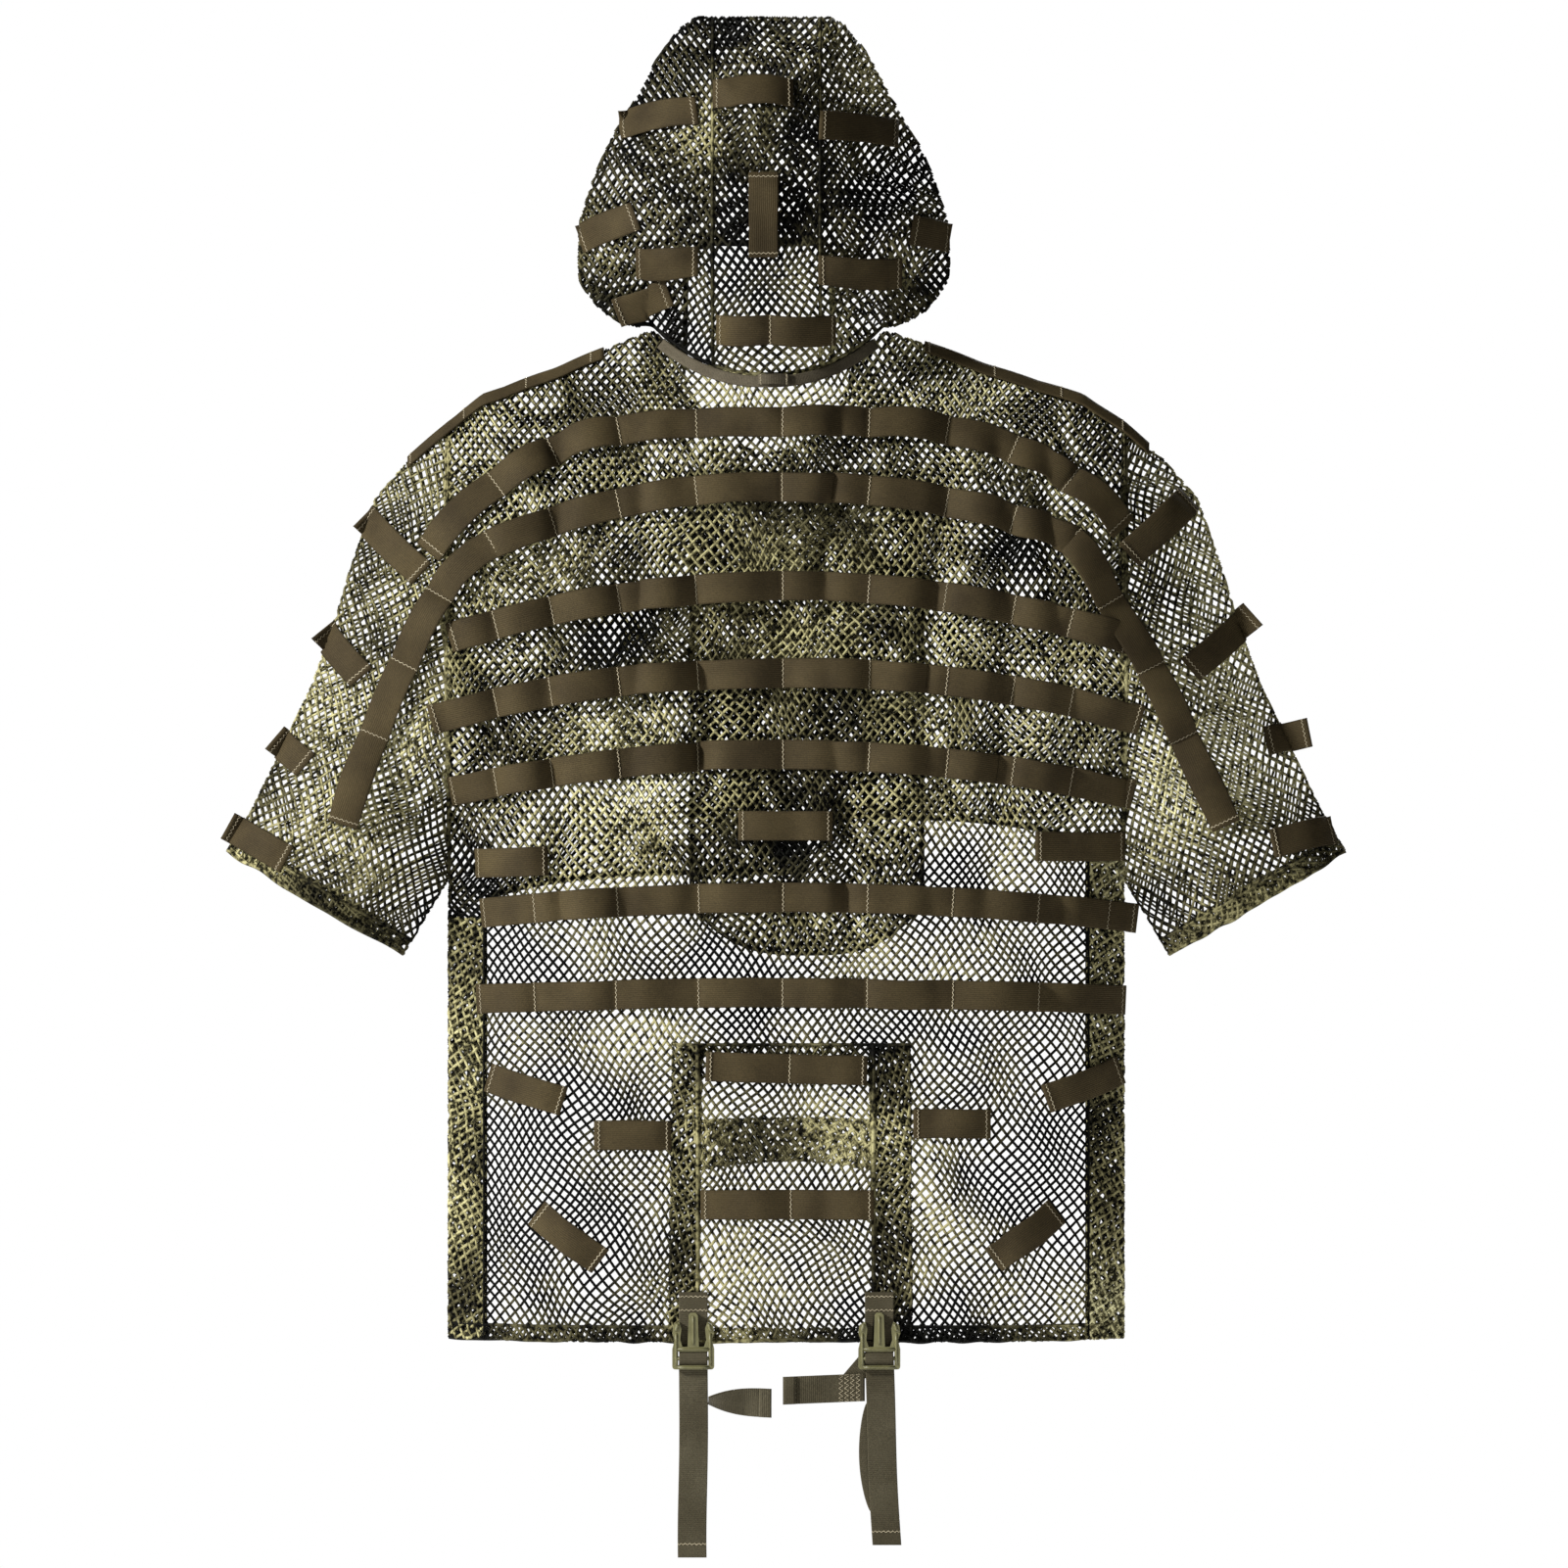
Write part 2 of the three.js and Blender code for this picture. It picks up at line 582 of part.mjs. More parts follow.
const lowLoopZ = 100; // two loops sit one above the other at the hood's left
const lowLoopGap = 8.6;
const hoodLoops = [
  [[-113, hoodAt(0.663)], 8, 70],
  [[-29, hoodAt(0.733)], 0, 70],
  [[64, hoodAt(0.623)], -3, 70],
  [[-20, hoodAt(0.337)], 90, 75],
  [[-158, hoodAt(0.308)], 20, 54],
  [[128, hoodAt(0.289)], -10, 36],
  [[-105, lowLoopZ], 0, 55],
  [[65, 92], 0, 74],
  [[-127, lowLoopZ - webWidth - lowLoopGap], 20, 50],
  [[-9, 40], 0, 104],
];
const onHood = { out: hoodOut, on: ['hood_side_left', 'hood_center', 'hood_side_right'] };
hoodLoops.forEach(([middle, slope, length], i) => {
  add(`hood_loop_${i + 1}`, strip(middle, slope, length, onHood, 5), webbing, hood);
});

// ---- buckles at the tail flap's corners, their sewn webbing and their straps ----
const flapFace = foldGap + bodyDepth + onNet + netThickness; // outer face of the tail flap
const webFace = flapFace + layClearance; // garment side of the webbing behind the buckle
const buckleFace = webFace + webThickness + buckle.clearance;

function buckleShape() {
  const half = buckle.width / 2;
  const baseTop = 20; // height of the ladder frame
  const { height } = buckle;
  const shape = new THREE.Shape();
  shape.moveTo(-half + 3, 0);
  shape.lineTo(half - 3, 0);
  shape.quadraticCurveTo(half, 0, half, 3);
  shape.lineTo(half, baseTop - 2);
  shape.lineTo(half - 2, baseTop + 6);
  shape.lineTo(half, height - 18);
  shape.lineTo(half - 1, height - 11);
  shape.lineTo(half - 6, height - 8);
  shape.lineTo(half - 8, height - 14);
  shape.lineTo(half - 7, baseTop + 6);
  shape.lineTo(half - 9, baseTop);
  shape.lineTo(5, baseTop);
  shape.lineTo(4, height - 2);
  shape.lineTo(2, height);
  shape.lineTo(-2, height);
  shape.lineTo(-4, height - 2);
  shape.lineTo(-5, baseTop);
  shape.lineTo(-half + 9, baseTop);
  shape.lineTo(-half + 7, baseTop + 6);
  shape.lineTo(-half + 8, height - 14);
  shape.lineTo(-half + 6, height - 8);
  shape.lineTo(-half + 1, height - 11);
  shape.lineTo(-half, height - 18);
  shape.lineTo(-half + 2, baseTop + 6);
  shape.lineTo(-half, baseTop - 2);
  shape.lineTo(-half, 3);
  shape.quadraticCurveTo(-half, 0, -half + 3, 0);
  const slotHalf = webWidth / 2 + 0.6;
  for (const low of [3.6, 11.4]) {
    const slot = new THREE.Path();
    slot.moveTo(-slotHalf, low);
    slot.lineTo(-slotHalf, low + 4.4);
    slot.lineTo(slotHalf, low + 4.4);
    slot.lineTo(slotHalf, low);
    shape.holes.push(slot);
  }
  return shape;
}

/** A flat piece of webbing between corners [x, z], standing on the webbing plane. */
function flatWeb(corners) {
  const shape = new THREE.Shape(corners.map(([x, z]) => new THREE.Vector2(x, z)));
  const solid = new THREE.ExtrudeGeometry(shape, { depth: webThickness, bevelEnabled: false });
  solid.rotateX(Math.PI / 2);
  solid.translate(0, -webFace, 0);
  return solid;
}

const anchorTopZ = hemZ + 44;
const anchorEndZ = buckleBottomZ + 15; // just short of the ladder's middle bar
const strapTopZ = anchorEndZ - 4;
const webHalf = webWidth / 2;

function addBuckle(word, side) {
  const solid = new THREE.ExtrudeGeometry(buckleShape(), {
    depth: buckle.thickness, bevelEnabled: false, curveSegments: 4,
  });
  solid.rotateX(Math.PI / 2);
  solid.translate(side * buckleX, -buckleFace, buckleBottomZ);
  add(`buckle_${word}`, solid, plastic);
  const x = side * buckleX;
  const low = x - webHalf;
  const high = x + webHalf;
  add(`buckle_anchor_${word}`, flatWeb([
    [low, anchorEndZ], [high, anchorEndZ], [high, anchorTopZ], [low, anchorTopZ],
  ]), strapWebbing);
}

addBuckle('left', -1);
addBuckle('right', 1);

// Each strap hangs from its buckle. Its other end is a short tab with a stitched fold.
const strapLean = 6; // the right strap's end hangs this far outward of its buckle
const endLeftZ = buckleBottomZ - strapRunLeft;
const endRightZ = buckleBottomZ - strapRunRight;
add('strap_left', flatWeb([
  [-buckleX - webHalf, endLeftZ], [-buckleX + webHalf, endLeftZ],
  [-buckleX + webHalf, strapTopZ], [-buckleX - webHalf, strapTopZ],
]), strapWebbing);
add('strap_right', flatWeb([
  [buckleX - webHalf + strapLean, endRightZ], [buckleX + webHalf + strapLean, endRightZ],
  [buckleX + webHalf, strapTopZ], [buckleX - webHalf, strapTopZ],
]), strapWebbing);
const tabStartLeft = -buckleX + webHalf + 2 * seamGap;
const tabStartRight = buckleX - webHalf; // the strap leans away from it by a gap's width
const below = (drop) => buckleBottomZ - drop;
add('strap_tab_left', flatWeb([
  [tabStartLeft, below(31)], [-45, below(36)], [-13, below(43)],
  [-13, below(17)], [-45, below(21)], [tabStartLeft, below(23)],
]), strapWebbing);
add('strap_tab_right', flatWeb([
  [tabStartRight, below(31)], [-3, below(31)], [-3, below(8)], [tabStartRight, below(5)],
]), strapWebbing);

export default suit;
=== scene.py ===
import math

import bpy
import numpy as np
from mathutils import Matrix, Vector


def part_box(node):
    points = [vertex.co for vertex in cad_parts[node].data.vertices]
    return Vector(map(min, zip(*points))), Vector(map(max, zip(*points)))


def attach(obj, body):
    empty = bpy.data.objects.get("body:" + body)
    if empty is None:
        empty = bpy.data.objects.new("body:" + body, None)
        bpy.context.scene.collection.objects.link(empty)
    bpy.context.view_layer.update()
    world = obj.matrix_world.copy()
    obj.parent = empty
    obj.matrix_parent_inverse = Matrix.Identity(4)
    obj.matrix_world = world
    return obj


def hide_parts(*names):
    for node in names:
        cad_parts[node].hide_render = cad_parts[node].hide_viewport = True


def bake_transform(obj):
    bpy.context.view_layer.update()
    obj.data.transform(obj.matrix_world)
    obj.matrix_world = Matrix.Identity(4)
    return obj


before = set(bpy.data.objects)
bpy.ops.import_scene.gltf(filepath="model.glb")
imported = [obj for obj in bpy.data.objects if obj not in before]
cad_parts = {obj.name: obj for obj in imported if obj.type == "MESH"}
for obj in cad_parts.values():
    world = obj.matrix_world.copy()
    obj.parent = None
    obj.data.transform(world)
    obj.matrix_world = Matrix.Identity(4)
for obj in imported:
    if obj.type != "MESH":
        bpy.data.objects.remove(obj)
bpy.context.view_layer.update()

# ---- sizes in metres, taken from the frame where it has them ----
LEFT, _, HEM_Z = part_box("back_panel")[0]
BODY_HALF = -LEFT + 0.0003
HOOD_TOP_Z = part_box("hood_center")[1][2]
CHEST_LOW, CHEST_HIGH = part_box("chest_flap")
FLAP_LOW, FLAP_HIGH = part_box("tail_flap")
WEB = 0.0254  # webbing width
WEB_THICK = 0.0014
NECK_X = -0.016
NECK_HALF = 0.1035
NECK_RISE = 0.043
HOOD_X = -0.020
SEAM_LEFT = -0.065
SEAM_RIGHT = 0.030
FACE_LEFT = -0.090
FACE_RIGHT = 0.041
FACE_TOP = 0.125
ARMPIT_Z = -0.445
CUFF_INNER = (0.040, -0.512)  # out from the armhole, height
YOKE_LEFT_Z = -0.440
YOKE_RIGHT_Z = -0.390
SIDE_STRIP = 0.032
BODY_DEPTH = 0.070
BODY_REACH = 0.150
ARM_REACH = 0.220
HOOD_DEPTH = 0.090
HOOD_REACH = 0.140
HOOD_EASE = 0.110
HOOD_RIM_Z = 0.048
FOLD_GAP = 0.0002

SHOULDER = [(0, 0.043), (0.44, 0.008), (0.83, -0.018), (1, -0.042)]
SLEEVE = [
    (0, -0.042), (0.035, -0.072), (0.066, -0.108), (0.086, -0.165), (0.103, -0.221),
    (0.122, -0.273), (0.147, -0.326), (0.177, -0.387), (0.197, -0.420),
]
HOOD = [
    (0.048, 0.141), (0.060, 0.150), (0.080, 0.163), (0.104, 0.165), (0.141, 0.163),
    (0.178, 0.151), (0.214, 0.135), (0.251, 0.112), (0.287, 0.093), (0.313, 0.073),
    (HOOD_TOP_Z, 0.060),
]

# ---- net ----
PITCH_X = 0.0081  # one cell of net, across and down
PITCH_Z = 0.0106
STRAND_WIDE = 0.0025
STRAND_FULL = 0.0031  # the doubled net of the front and hood, where strands bunch
STRAND_THICK = 0.0014
NET_LIFT = 0.0010  # from the surface to the net, and to the webbing on it
WEB_LIFT = 0.0030
FLAP_LIFT = 0.0052
TUCK_TOP_Z = -0.657
TUCK_BOTTOM_Z = -0.702
HEM_TURN = 0.012
CUFF_TURN = 0.014


# ---- the garment's surface ----
def lerp_list(pairs, x):
    """Reads the second value at x, straight between the pairs."""
    return np.interp(x, [p[0] for p in pairs], [p[1] for p in pairs])


def shoulder_line(x):
    x = np.asarray(x, float)
    start = np.where(x < NECK_X, NECK_HALF - NECK_X, NECK_HALF + NECK_X)
    return lerp_list(SHOULDER, (np.abs(x) - start) / (BODY_HALF - start))


def back_top(x):
    share = np.abs(np.asarray(x, float) - NECK_X) / NECK_HALF
    return np.where(share < 1, NECK_RISE * np.minimum(share, 1) ** 2.2, shoulder_line(x))


def front_top(x):
    share = np.abs(np.asarray(x, float) - NECK_X) / (NECK_HALF * 0.72)
    corner = back_top(NECK_X + NECK_HALF * 0.72)
    dip = corner - 0.084 * np.sqrt(np.maximum(1 - share**2, 0))
    return np.where(share >= 1, back_top(x), dip)


def hood_rim(x):
    share = np.minimum(np.abs(np.asarray(x, float) - NECK_X) / NECK_HALF, 1)
    return 0.0006 + (HOOD_RIM_Z - 0.0006) * share**2.2


def swell(distance, reach):
    t = np.clip(distance / reach, 0, 1)
    return t * (2 - t)


def nearest(x, z, chain, closed=False):
    """Distance to a chain of points, and the nearest place on it."""
    best = np.full(x.shape, np.inf)
    near_x, near_z = x.copy(), z.copy()
    points = np.asarray(chain, float)
    ends = np.roll(points, -1, axis=0) if closed else points[1:]
    for (ax, az), (bx, bz) in zip(points, ends):
        dx, dz = bx - ax, bz - az
        share = ((x - ax) * dx + (z - az) * dz) / max(dx * dx + dz * dz, 1e-12)
        t = np.clip(share, 0, 1)
        px, pz = ax + t * dx, az + t * dz
        d = np.hypot(x - px, z - pz)
        closer = d < best
        best = np.where(closer, d, best)
        near_x, near_z = np.where(closer, px, near_x), np.where(closer, pz, near_z)
    return best, near_x, near_z


def inside(x, z, polygon):
    result = np.zeros(x.shape, bool)
    points = np.asarray(polygon, float)
    for (ax, az), (bx, bz) in zip(points, np.roll(points, -1, axis=0)):
        if az == bz:
            continue
        crosses = (az > z) != (bz > z)
        result ^= crosses & (x < (bx - ax) * (z - az) / (bz - az) + ax)
    return result


def upper_fold(side):
    start = NECK_HALF + side * NECK_X
    shoulder = [(side * (start + s * (BODY_HALF - start)), z) for s, z in SHOULDER]
    return shoulder + [(side * (BODY_HALF + out), z) for out, z in SLEEVE[1:]]


FOLDS = {side: upper_fold(side) for side in (-1, 1)}
HOOD_OUTLINE = [(HOOD_X - half, z) for z, half in HOOD] + [
    (HOOD_X + half, z) for z, half in reversed(HOOD)
]


def waves(seed, length, count=7):
    """A smooth random field over (x, z), about -1 to 1, with the given wavelength."""
    rng = np.random.RandomState(seed)
    terms = []
    for _ in range(count):
        angle = rng.uniform(0, 2 * math.pi)
        k = 2 * math.pi / (length * rng.uniform(0.7, 1.5))
        terms.append((k * math.cos(angle), k * math.sin(angle), rng.uniform(0, 2 * math.pi)))

    def field(x, z):
        total = sum(np.sin(kx * x + kz * z + phase) for kx, kz, phase in terms)
        return total / math.sqrt(count)

    return field


SLACK = waves(11, 0.150)
SLACK_FINE = waves(12, 0.060)


def body_base(x, z):
    below = np.maximum(ARMPIT_Z - z, 0)
    under_arm = BODY_HALF + CUFF_INNER[0] * below / (ARMPIT_Z - CUFF_INNER[1])
    from_body = BODY_HALF - np.abs(x)
    from_side = np.where(from_body >= 0, from_body, np.maximum(np.abs(x) - under_arm, 0))
    t = np.clip((z - ARMPIT_Z) / ARM_REACH, 0, 1)
    side = 1 - (1 - swell(from_side, BODY_REACH)) * (1 - t * t * (3 - 2 * t))
    upper = np.minimum(nearest(x, z, FOLDS[1])[0], nearest(x, z, FOLDS[-1])[0])
    return side * swell(upper, BODY_REACH)


# Soft vertical folds in the drape: place across, depth, half width.
DRAPE = [
    (-0.255, 0.006, 0.013), (-0.201, 0.011, 0.012), (-0.134, 0.008, 0.011),
    (-0.084, 0.014, 0.013), (0.044, 0.011, 0.011), (0.129, 0.010, 0.012),
    (0.185, 0.014, 0.013), (0.238, 0.011, 0.013),
]


def drape(x, z):
    """Depth of the drape's folds, strongest over the chest and faint below it."""
    upper = np.clip((-0.015 - z) / 0.06, 0, 1)
    lower = np.clip((z - ARMPIT_Z + 0.11) / 0.08, 0.28, 1)
    total = np.zeros(np.shape(x))
    for index, (at, depth, half) in enumerate(DRAPE):
        sway = 0.009 * np.sin(z * 11.0 + index * 1.7) + 0.05 * at * (z + 0.3)
        fade = 0.6 + 0.4 * np.sin(z * 17.0 + index * 2.3)
        total = total + depth * fade * np.exp(-(((x - at - sway) / half) ** 2))
    return total * upper * lower


def body_out(x, z):
    """How far the body and sleeves stand from the plane of the folds."""
    x, z = np.asarray(x, float), np.asarray(z, float)
    share = body_base(x, z)
    slack = 0.0026 * SLACK(x, z * 0.6) + 0.0012 * SLACK_FINE(x, z * 0.5)
    return FOLD_GAP + share * (BODY_DEPTH + slack - drape(x, z))


def hood_out(x, z):
    x, z = np.asarray(x, float), np.asarray(z, float)
    full = HOOD_DEPTH * swell(nearest(x, z, HOOD_OUTLINE)[0], HOOD_REACH)
    in_neck = np.abs(x - NECK_X) < NECK_HALF
    rim = np.where(in_neck, body_base(x, back_top(x)) * BODY_DEPTH, 0)
    rise = swell(z - hood_rim(x), HOOD_EASE)
    slack = 0.0022 * SLACK(x + 1, z) + 0.0010 * SLACK_FINE(x, z + 1)
    return FOLD_GAP + rim + (full - rim) * rise + slack * rise * swell(full, 0.05)


def place(x, z, side, out, lift):
    """Points on the cloth, and the outward normals there."""
    step = 0.002
    y = side * (out(x, z) + lift)
    slope_x = side * (out(x + step, z) - out(x - step, z)) / (2 * step)
    slope_z = side * (out(x, z + step) - out(x, z - step)) / (2 * step)
    normal = np.stack([-slope_x, np.ones_like(x), -slope_z], -1) * side
    steep = np.clip(np.linalg.norm(normal, axis=-1, keepdims=True), 1, 3)
    return np.stack([x, y, z], -1), normal / steep


# ---- meshes ----
def make_object(name, verts, faces, materials, smooth=True, uvs=None, indices=None):
    """A mesh object from arrays. Faces is an (n, 4) array of quads."""
    mesh = bpy.data.meshes.new(name)
    mesh.vertices.add(len(verts))
    mesh.vertices.foreach_set("co", np.asarray(verts, np.float32).ravel())
    mesh.loops.add(faces.size)
    mesh.loops.foreach_set("vertex_index", faces.ravel().astype(np.int32))
    mesh.polygons.add(len(faces))
    mesh.polygons.foreach_set("loop_start", np.arange(0, faces.size, 4, dtype=np.int32))
    mesh.polygons.foreach_set("use_smooth", np.full(len(faces), smooth))
    for material in materials:
        mesh.materials.append(material)
    if indices is not None:
        mesh.polygons.foreach_set("material_index", indices.astype(np.int32))
    if uvs is not None:
        layer = mesh.uv_layers.new(name="metres")
        layer.data.foreach_set("uv", uvs[faces.ravel()].astype(np.float32).ravel())
    mesh.update()
    mesh.validate()
    obj = bpy.data.objects.new(name, mesh)
    bpy.context.scene.collection.objects.link(obj)
    return obj


def unit(v):
    return v / np.maximum(np.linalg.norm(v, axis=-1, keepdims=True), 1e-9)


class Pile:
    """Collects quads, their UVs in metres and their materials for one object."""

    def __init__(self):
        self.verts, self.faces, self.uvs, self.indices, self.count = [], [], [], [], 0

    def add(self, verts, faces, uvs=None, index=0):
        verts = verts.reshape(-1, 3)
        uvs = np.zeros((len(verts), 2)) if uvs is None else uvs.reshape(-1, 2)
        self.verts.append(verts)
        self.uvs.append(uvs)
        self.faces.append(faces + self.count)
        self.indices.append(np.full(len(faces), index))
        self.count += len(verts)

    def build(self, name, materials, smooth=True):
        return make_object(
            name, np.concatenate(self.verts), np.concatenate(self.faces), materials, smooth,
            np.concatenate(self.uvs), np.concatenate(self.indices),
        )


def tube(pile, points, normals, wide, thick, index=0):
    """A closed tube along points, with its width across the cloth and its thickness off it."""
    n = len(points)
    along = unit(np.gradient(points, axis=0))
    across = unit(np.cross(along, normals))
    k = np.arange(4)
    angles = k * math.pi / 2
    ring = (
        across[:, None] * (np.cos(angles) * wide / 2)[None, :, None]
        + unit(normals)[:, None] * (np.sin(angles) * thick / 2)[None, :, None]
    )
    verts = points[:, None] + ring
    row = np.arange(n - 1)[:, None] * 4
    quads = np.stack([row + k, row + (k + 1) % 4, row + 4 + (k + 1) % 4, row + 4 + k], -1)
    faces = np.concatenate([quads.reshape(-1, 4), [k[::-1], (n - 1) * 4 + k]])
    pile.add(verts, faces, index=index)


def net(pile, polygon, side, out, lift=NET_LIFT, angle=0.0, seed=1, pitch=1.0, drift=0.0036,
        index=0, strand=STRAND_WIDE):
    """Knotted net inside a polygon: two families of strands that cross at the knots."""
    polygon = np.asarray(polygon, float)
    centre = (polygon.min(0) + polygon.max(0)) / 2
    c, s = math.cos(math.radians(angle)), math.sin(math.radians(angle))
    turn = np.array([[c, -s], [s, c]])
    local = (polygon - centre) @ turn
    margin = 0.02
    half = np.abs(local).max(0) + margin
    step = np.array([PITCH_X, PITCH_Z]) * pitch / 2
    count = np.ceil(half / step).astype(int)
    i, j = np.meshgrid(*(np.arange(-k, k + 1) for k in count), indexing="ij")
    flat = np.stack([i * step[0], j * step[1]], -1) @ turn.T + centre
    wander_x, wander_z = waves(seed, 0.100), waves(seed + 50, 0.095)
    x = flat[..., 0] + drift * wander_x(flat[..., 0], flat[..., 1])
    z = flat[..., 1] + drift * wander_z(flat[..., 0], flat[..., 1])
    even = (i + j) % 2 == 0
    within = inside(x, z, polygon)
    gap, near_x, near_z = nearest(x, z, polygon, closed=True)
    edge = ~within & (gap < 0.62 * PITCH_X * pitch)
    x, z = np.where(edge, near_x, x), np.where(edge, near_z, z)
    usable = even & (within | edge)
    points, normals = place(x, z, side, out, lift)
    for slope in (1, -1):
        family(pile, points, normals, usable, edge, slope, index, strand)
    return points[usable]


def family(pile, points, normals, usable, edge, slope, index, strand):
    """One family of strands, as tubes that run from knot to knot on one diagonal."""
    order = slice(None) if slope == 1 else slice(None, None, -1)
    p, n = points[:, order], unit(normals[:, order])
    ok, rim = usable[:, order], edge[:, order]
    along = np.zeros_like(p)
    along[1:-1, 1:-1] = p[2:, 2:] - p[:-2, :-2]
    across = unit(np.cross(unit(along), n))
    rows = np.arange(p.shape[0])[:, None]
    weave = np.where(rows % 2 == 0, 1, -1) * slope * STRAND_THICK * 0.22
    middle = p + n * weave[..., None]
    wide, thick = strand / 2, STRAND_THICK / 2
    ring = np.stack([
        middle + across * wide, middle + n * thick, middle - across * wide, middle - n * thick,
    ], 2)
    link = ok[:-1, :-1] & ok[1:, 1:] & ~(rim[:-1, :-1] & rim[1:, 1:])
    number = np.arange(p.shape[0] * p.shape[1]).reshape(p.shape[:2]) * 4
    a, b = number[:-1, :-1][link], number[1:, 1:][link]
    faces = [np.stack([a + k, a + (k + 1) % 4, b + (k + 1) % 4, b + k], -1) for k in range(4)]
    starts = np.zeros(p.shape[:2], bool)
    ends = np.zeros(p.shape[:2], bool)
    starts[:-1, :-1] |= link
    ends[1:, 1:] |= link
    first, last = number[starts & ~ends], number[ends & ~starts]
    faces.append(np.stack([first + 3, first + 2, first + 1, first], -1))
    faces.append(np.stack([last, last + 1, last + 2, last + 3], -1))
    faces = np.concatenate(faces)
    used, packed = np.unique(faces, return_inverse=True)
    pile.add(ring.reshape(-1, 3)[used], packed.reshape(faces.shape), index=index)


def seam(pile, path, side, out, lift=NET_LIFT, wide=0.0030, thick=0.0024, wobble=0.0):
    """A turned or bound edge: a cord of gathered net along a path of (x, z)."""
    path = resample(path, 0.004)
    x, z = path[:, 0], path[:, 1]
    if wobble:
        field = waves(77, 0.03)
        z = z + wobble * field(x, z)
    points, normals = place(x, z, side, out, lift)
    tube(pile, points, normals, wide, thick)


def run_length(points):
    """Distance along a run of points, from 0 at the first."""
    return np.concatenate([[0], np.cumsum(np.linalg.norm(np.diff(points, axis=0), axis=-1))])


def resample(path, step):
    path = np.asarray(path, float)
    total = run_length(path)
    count = max(int(round(total[-1] / step)), 2)
    s = np.linspace(0, total[-1], count + 1)
    return np.stack([np.interp(s, total, path[:, 0]), np.interp(s, total, path[:, 1])], -1)


def thick_sheet(pile, grid, thickness):
    """A closed band from a grid of points (along, across): the grid is its inner face."""
    rows, columns = grid.shape[:2]
    d_along = np.gradient(grid, axis=0)
    d_across = np.gradient(grid, axis=1)
    normal = unit(np.cross(d_across, d_along))
    outer = grid + normal * thickness
    verts = np.concatenate([outer.reshape(-1, 3), grid.reshape(-1, 3)])
    half = rows * columns
    r, c = np.meshgrid(np.arange(rows - 1), np.arange(columns - 1), indexing="ij")
    a = (r * columns + c).ravel()
    top = np.stack([a, a + 1, a + columns + 1, a + columns], -1)
    under = top[:, ::-1] + half
    c = np.arange(columns - 1)
    near = np.stack([c, c + half, c + 1 + half, c + 1], -1)
    last = c + (rows - 1) * columns
    far = np.stack([last, last + 1, last + 1 + half, last + half], -1)
    r = np.arange(rows - 1) * columns
    low = np.stack([r, r + columns, r + columns + half, r + half], -1)
    e = r + columns - 1
    high = np.stack([e, e + half, e + columns + half, e + columns], -1)
    u = run_length(grid[:, columns // 2])[:, None] + np.zeros((1, columns))
    widths = np.linalg.norm(grid[:, -1] - grid[:, 0], axis=-1)[:, None]
    v = np.linspace(0, 1, columns)[None] * widths
    uvs = np.stack([u, v], -1).reshape(-1, 2)
    faces = np.concatenate([top, under, near, far, low, high])
    pile.add(verts, faces, np.concatenate([uvs, uvs]))
    return outer, normal


ACROSS = np.array([-0.5, -0.46, -0.25, 0, 0.25, 0.46, 0.5])


def webbing(pile, path, stitches, side=-1, out=body_out, lift=WEB_LIFT, width=WEB,
            bulge=0.0035, seed=0, thickness=WEB_THICK):
    """Webbing along (x, z), sewn down at the stitches and standing off between them."""
    path = resample(path, 0.003)
    s = run_length(path)
    marks = np.unique(np.concatenate([[0], np.asarray(stitches, float), [s[-1]]]))
    rng = np.random.RandomState(seed)
    heights = rng.uniform(0.45, 1.25, len(marks)) * bulge
    span = np.clip(np.searchsorted(marks, s, side="right") - 1, 0, len(marks) - 2)
    length = marks[span + 1] - marks[span]
    t = (s - marks[span]) / length
    skew = rng.uniform(0.7, 1.5, len(marks))[span]
    stand = heights[span] * np.sin(math.pi * t**skew) ** 0.75 * np.clip(length / 0.05, 0.15, 1)
    along = unit(np.gradient(path, axis=0))
    normal = np.stack([-along[:, 1], along[:, 0]], -1) * side
    x = path[:, :1] + normal[:, :1] * ACROSS[None] * width
    z = path[:, 1:] + normal[:, 1:] * ACROSS[None] * width
    points, outward = place(x, z, side, out, lift)
    rounding = np.where(np.abs(ACROSS) == 0.5, -0.0003, 0.0)
    grid = points + unit(outward) * (stand[:, None] + rounding[None])[..., None]
    outer, face = thick_sheet(pile, grid, thickness)
    for mark in stitches:
        zigzag(pile, s, outer, face, mark)
    return grid


def zigzag(pile, s, outer, face, mark, rows=17, reach=0.0007):
    """A bar of zigzag thread across webbing at arc length mark."""
    columns = outer.shape[1]
    across = np.linspace(0.4, columns - 1.4, rows)
    at = mark + reach * np.where(np.arange(rows) % 2 == 0, 1, -1)
    points, normals = [], []
    for where, column in zip(at, across):
        low = int(column)
        share = column - low
        a = [np.interp(where, s, outer[:, low, k]) for k in range(3)]
        b = [np.interp(where, s, outer[:, low + 1, k]) for k in range(3)]
        n = face[np.abs(s - where).argmin(), low]
        points.append(np.array(a) * (1 - share) + np.array(b) * share + n * 0.0002)
        normals.append(n)
    tube(pile, np.array(points), np.array(normals), 0.0007, 0.0005, index=1)


# ---- materials ----
def material(name, build):
    made = bpy.data.materials.new(name)
    made.use_nodes = True
    nodes, links = made.node_tree.nodes, made.node_tree.links
    shader = nodes["Principled BSDF"]
    build(nodes, links, shader)
    return made


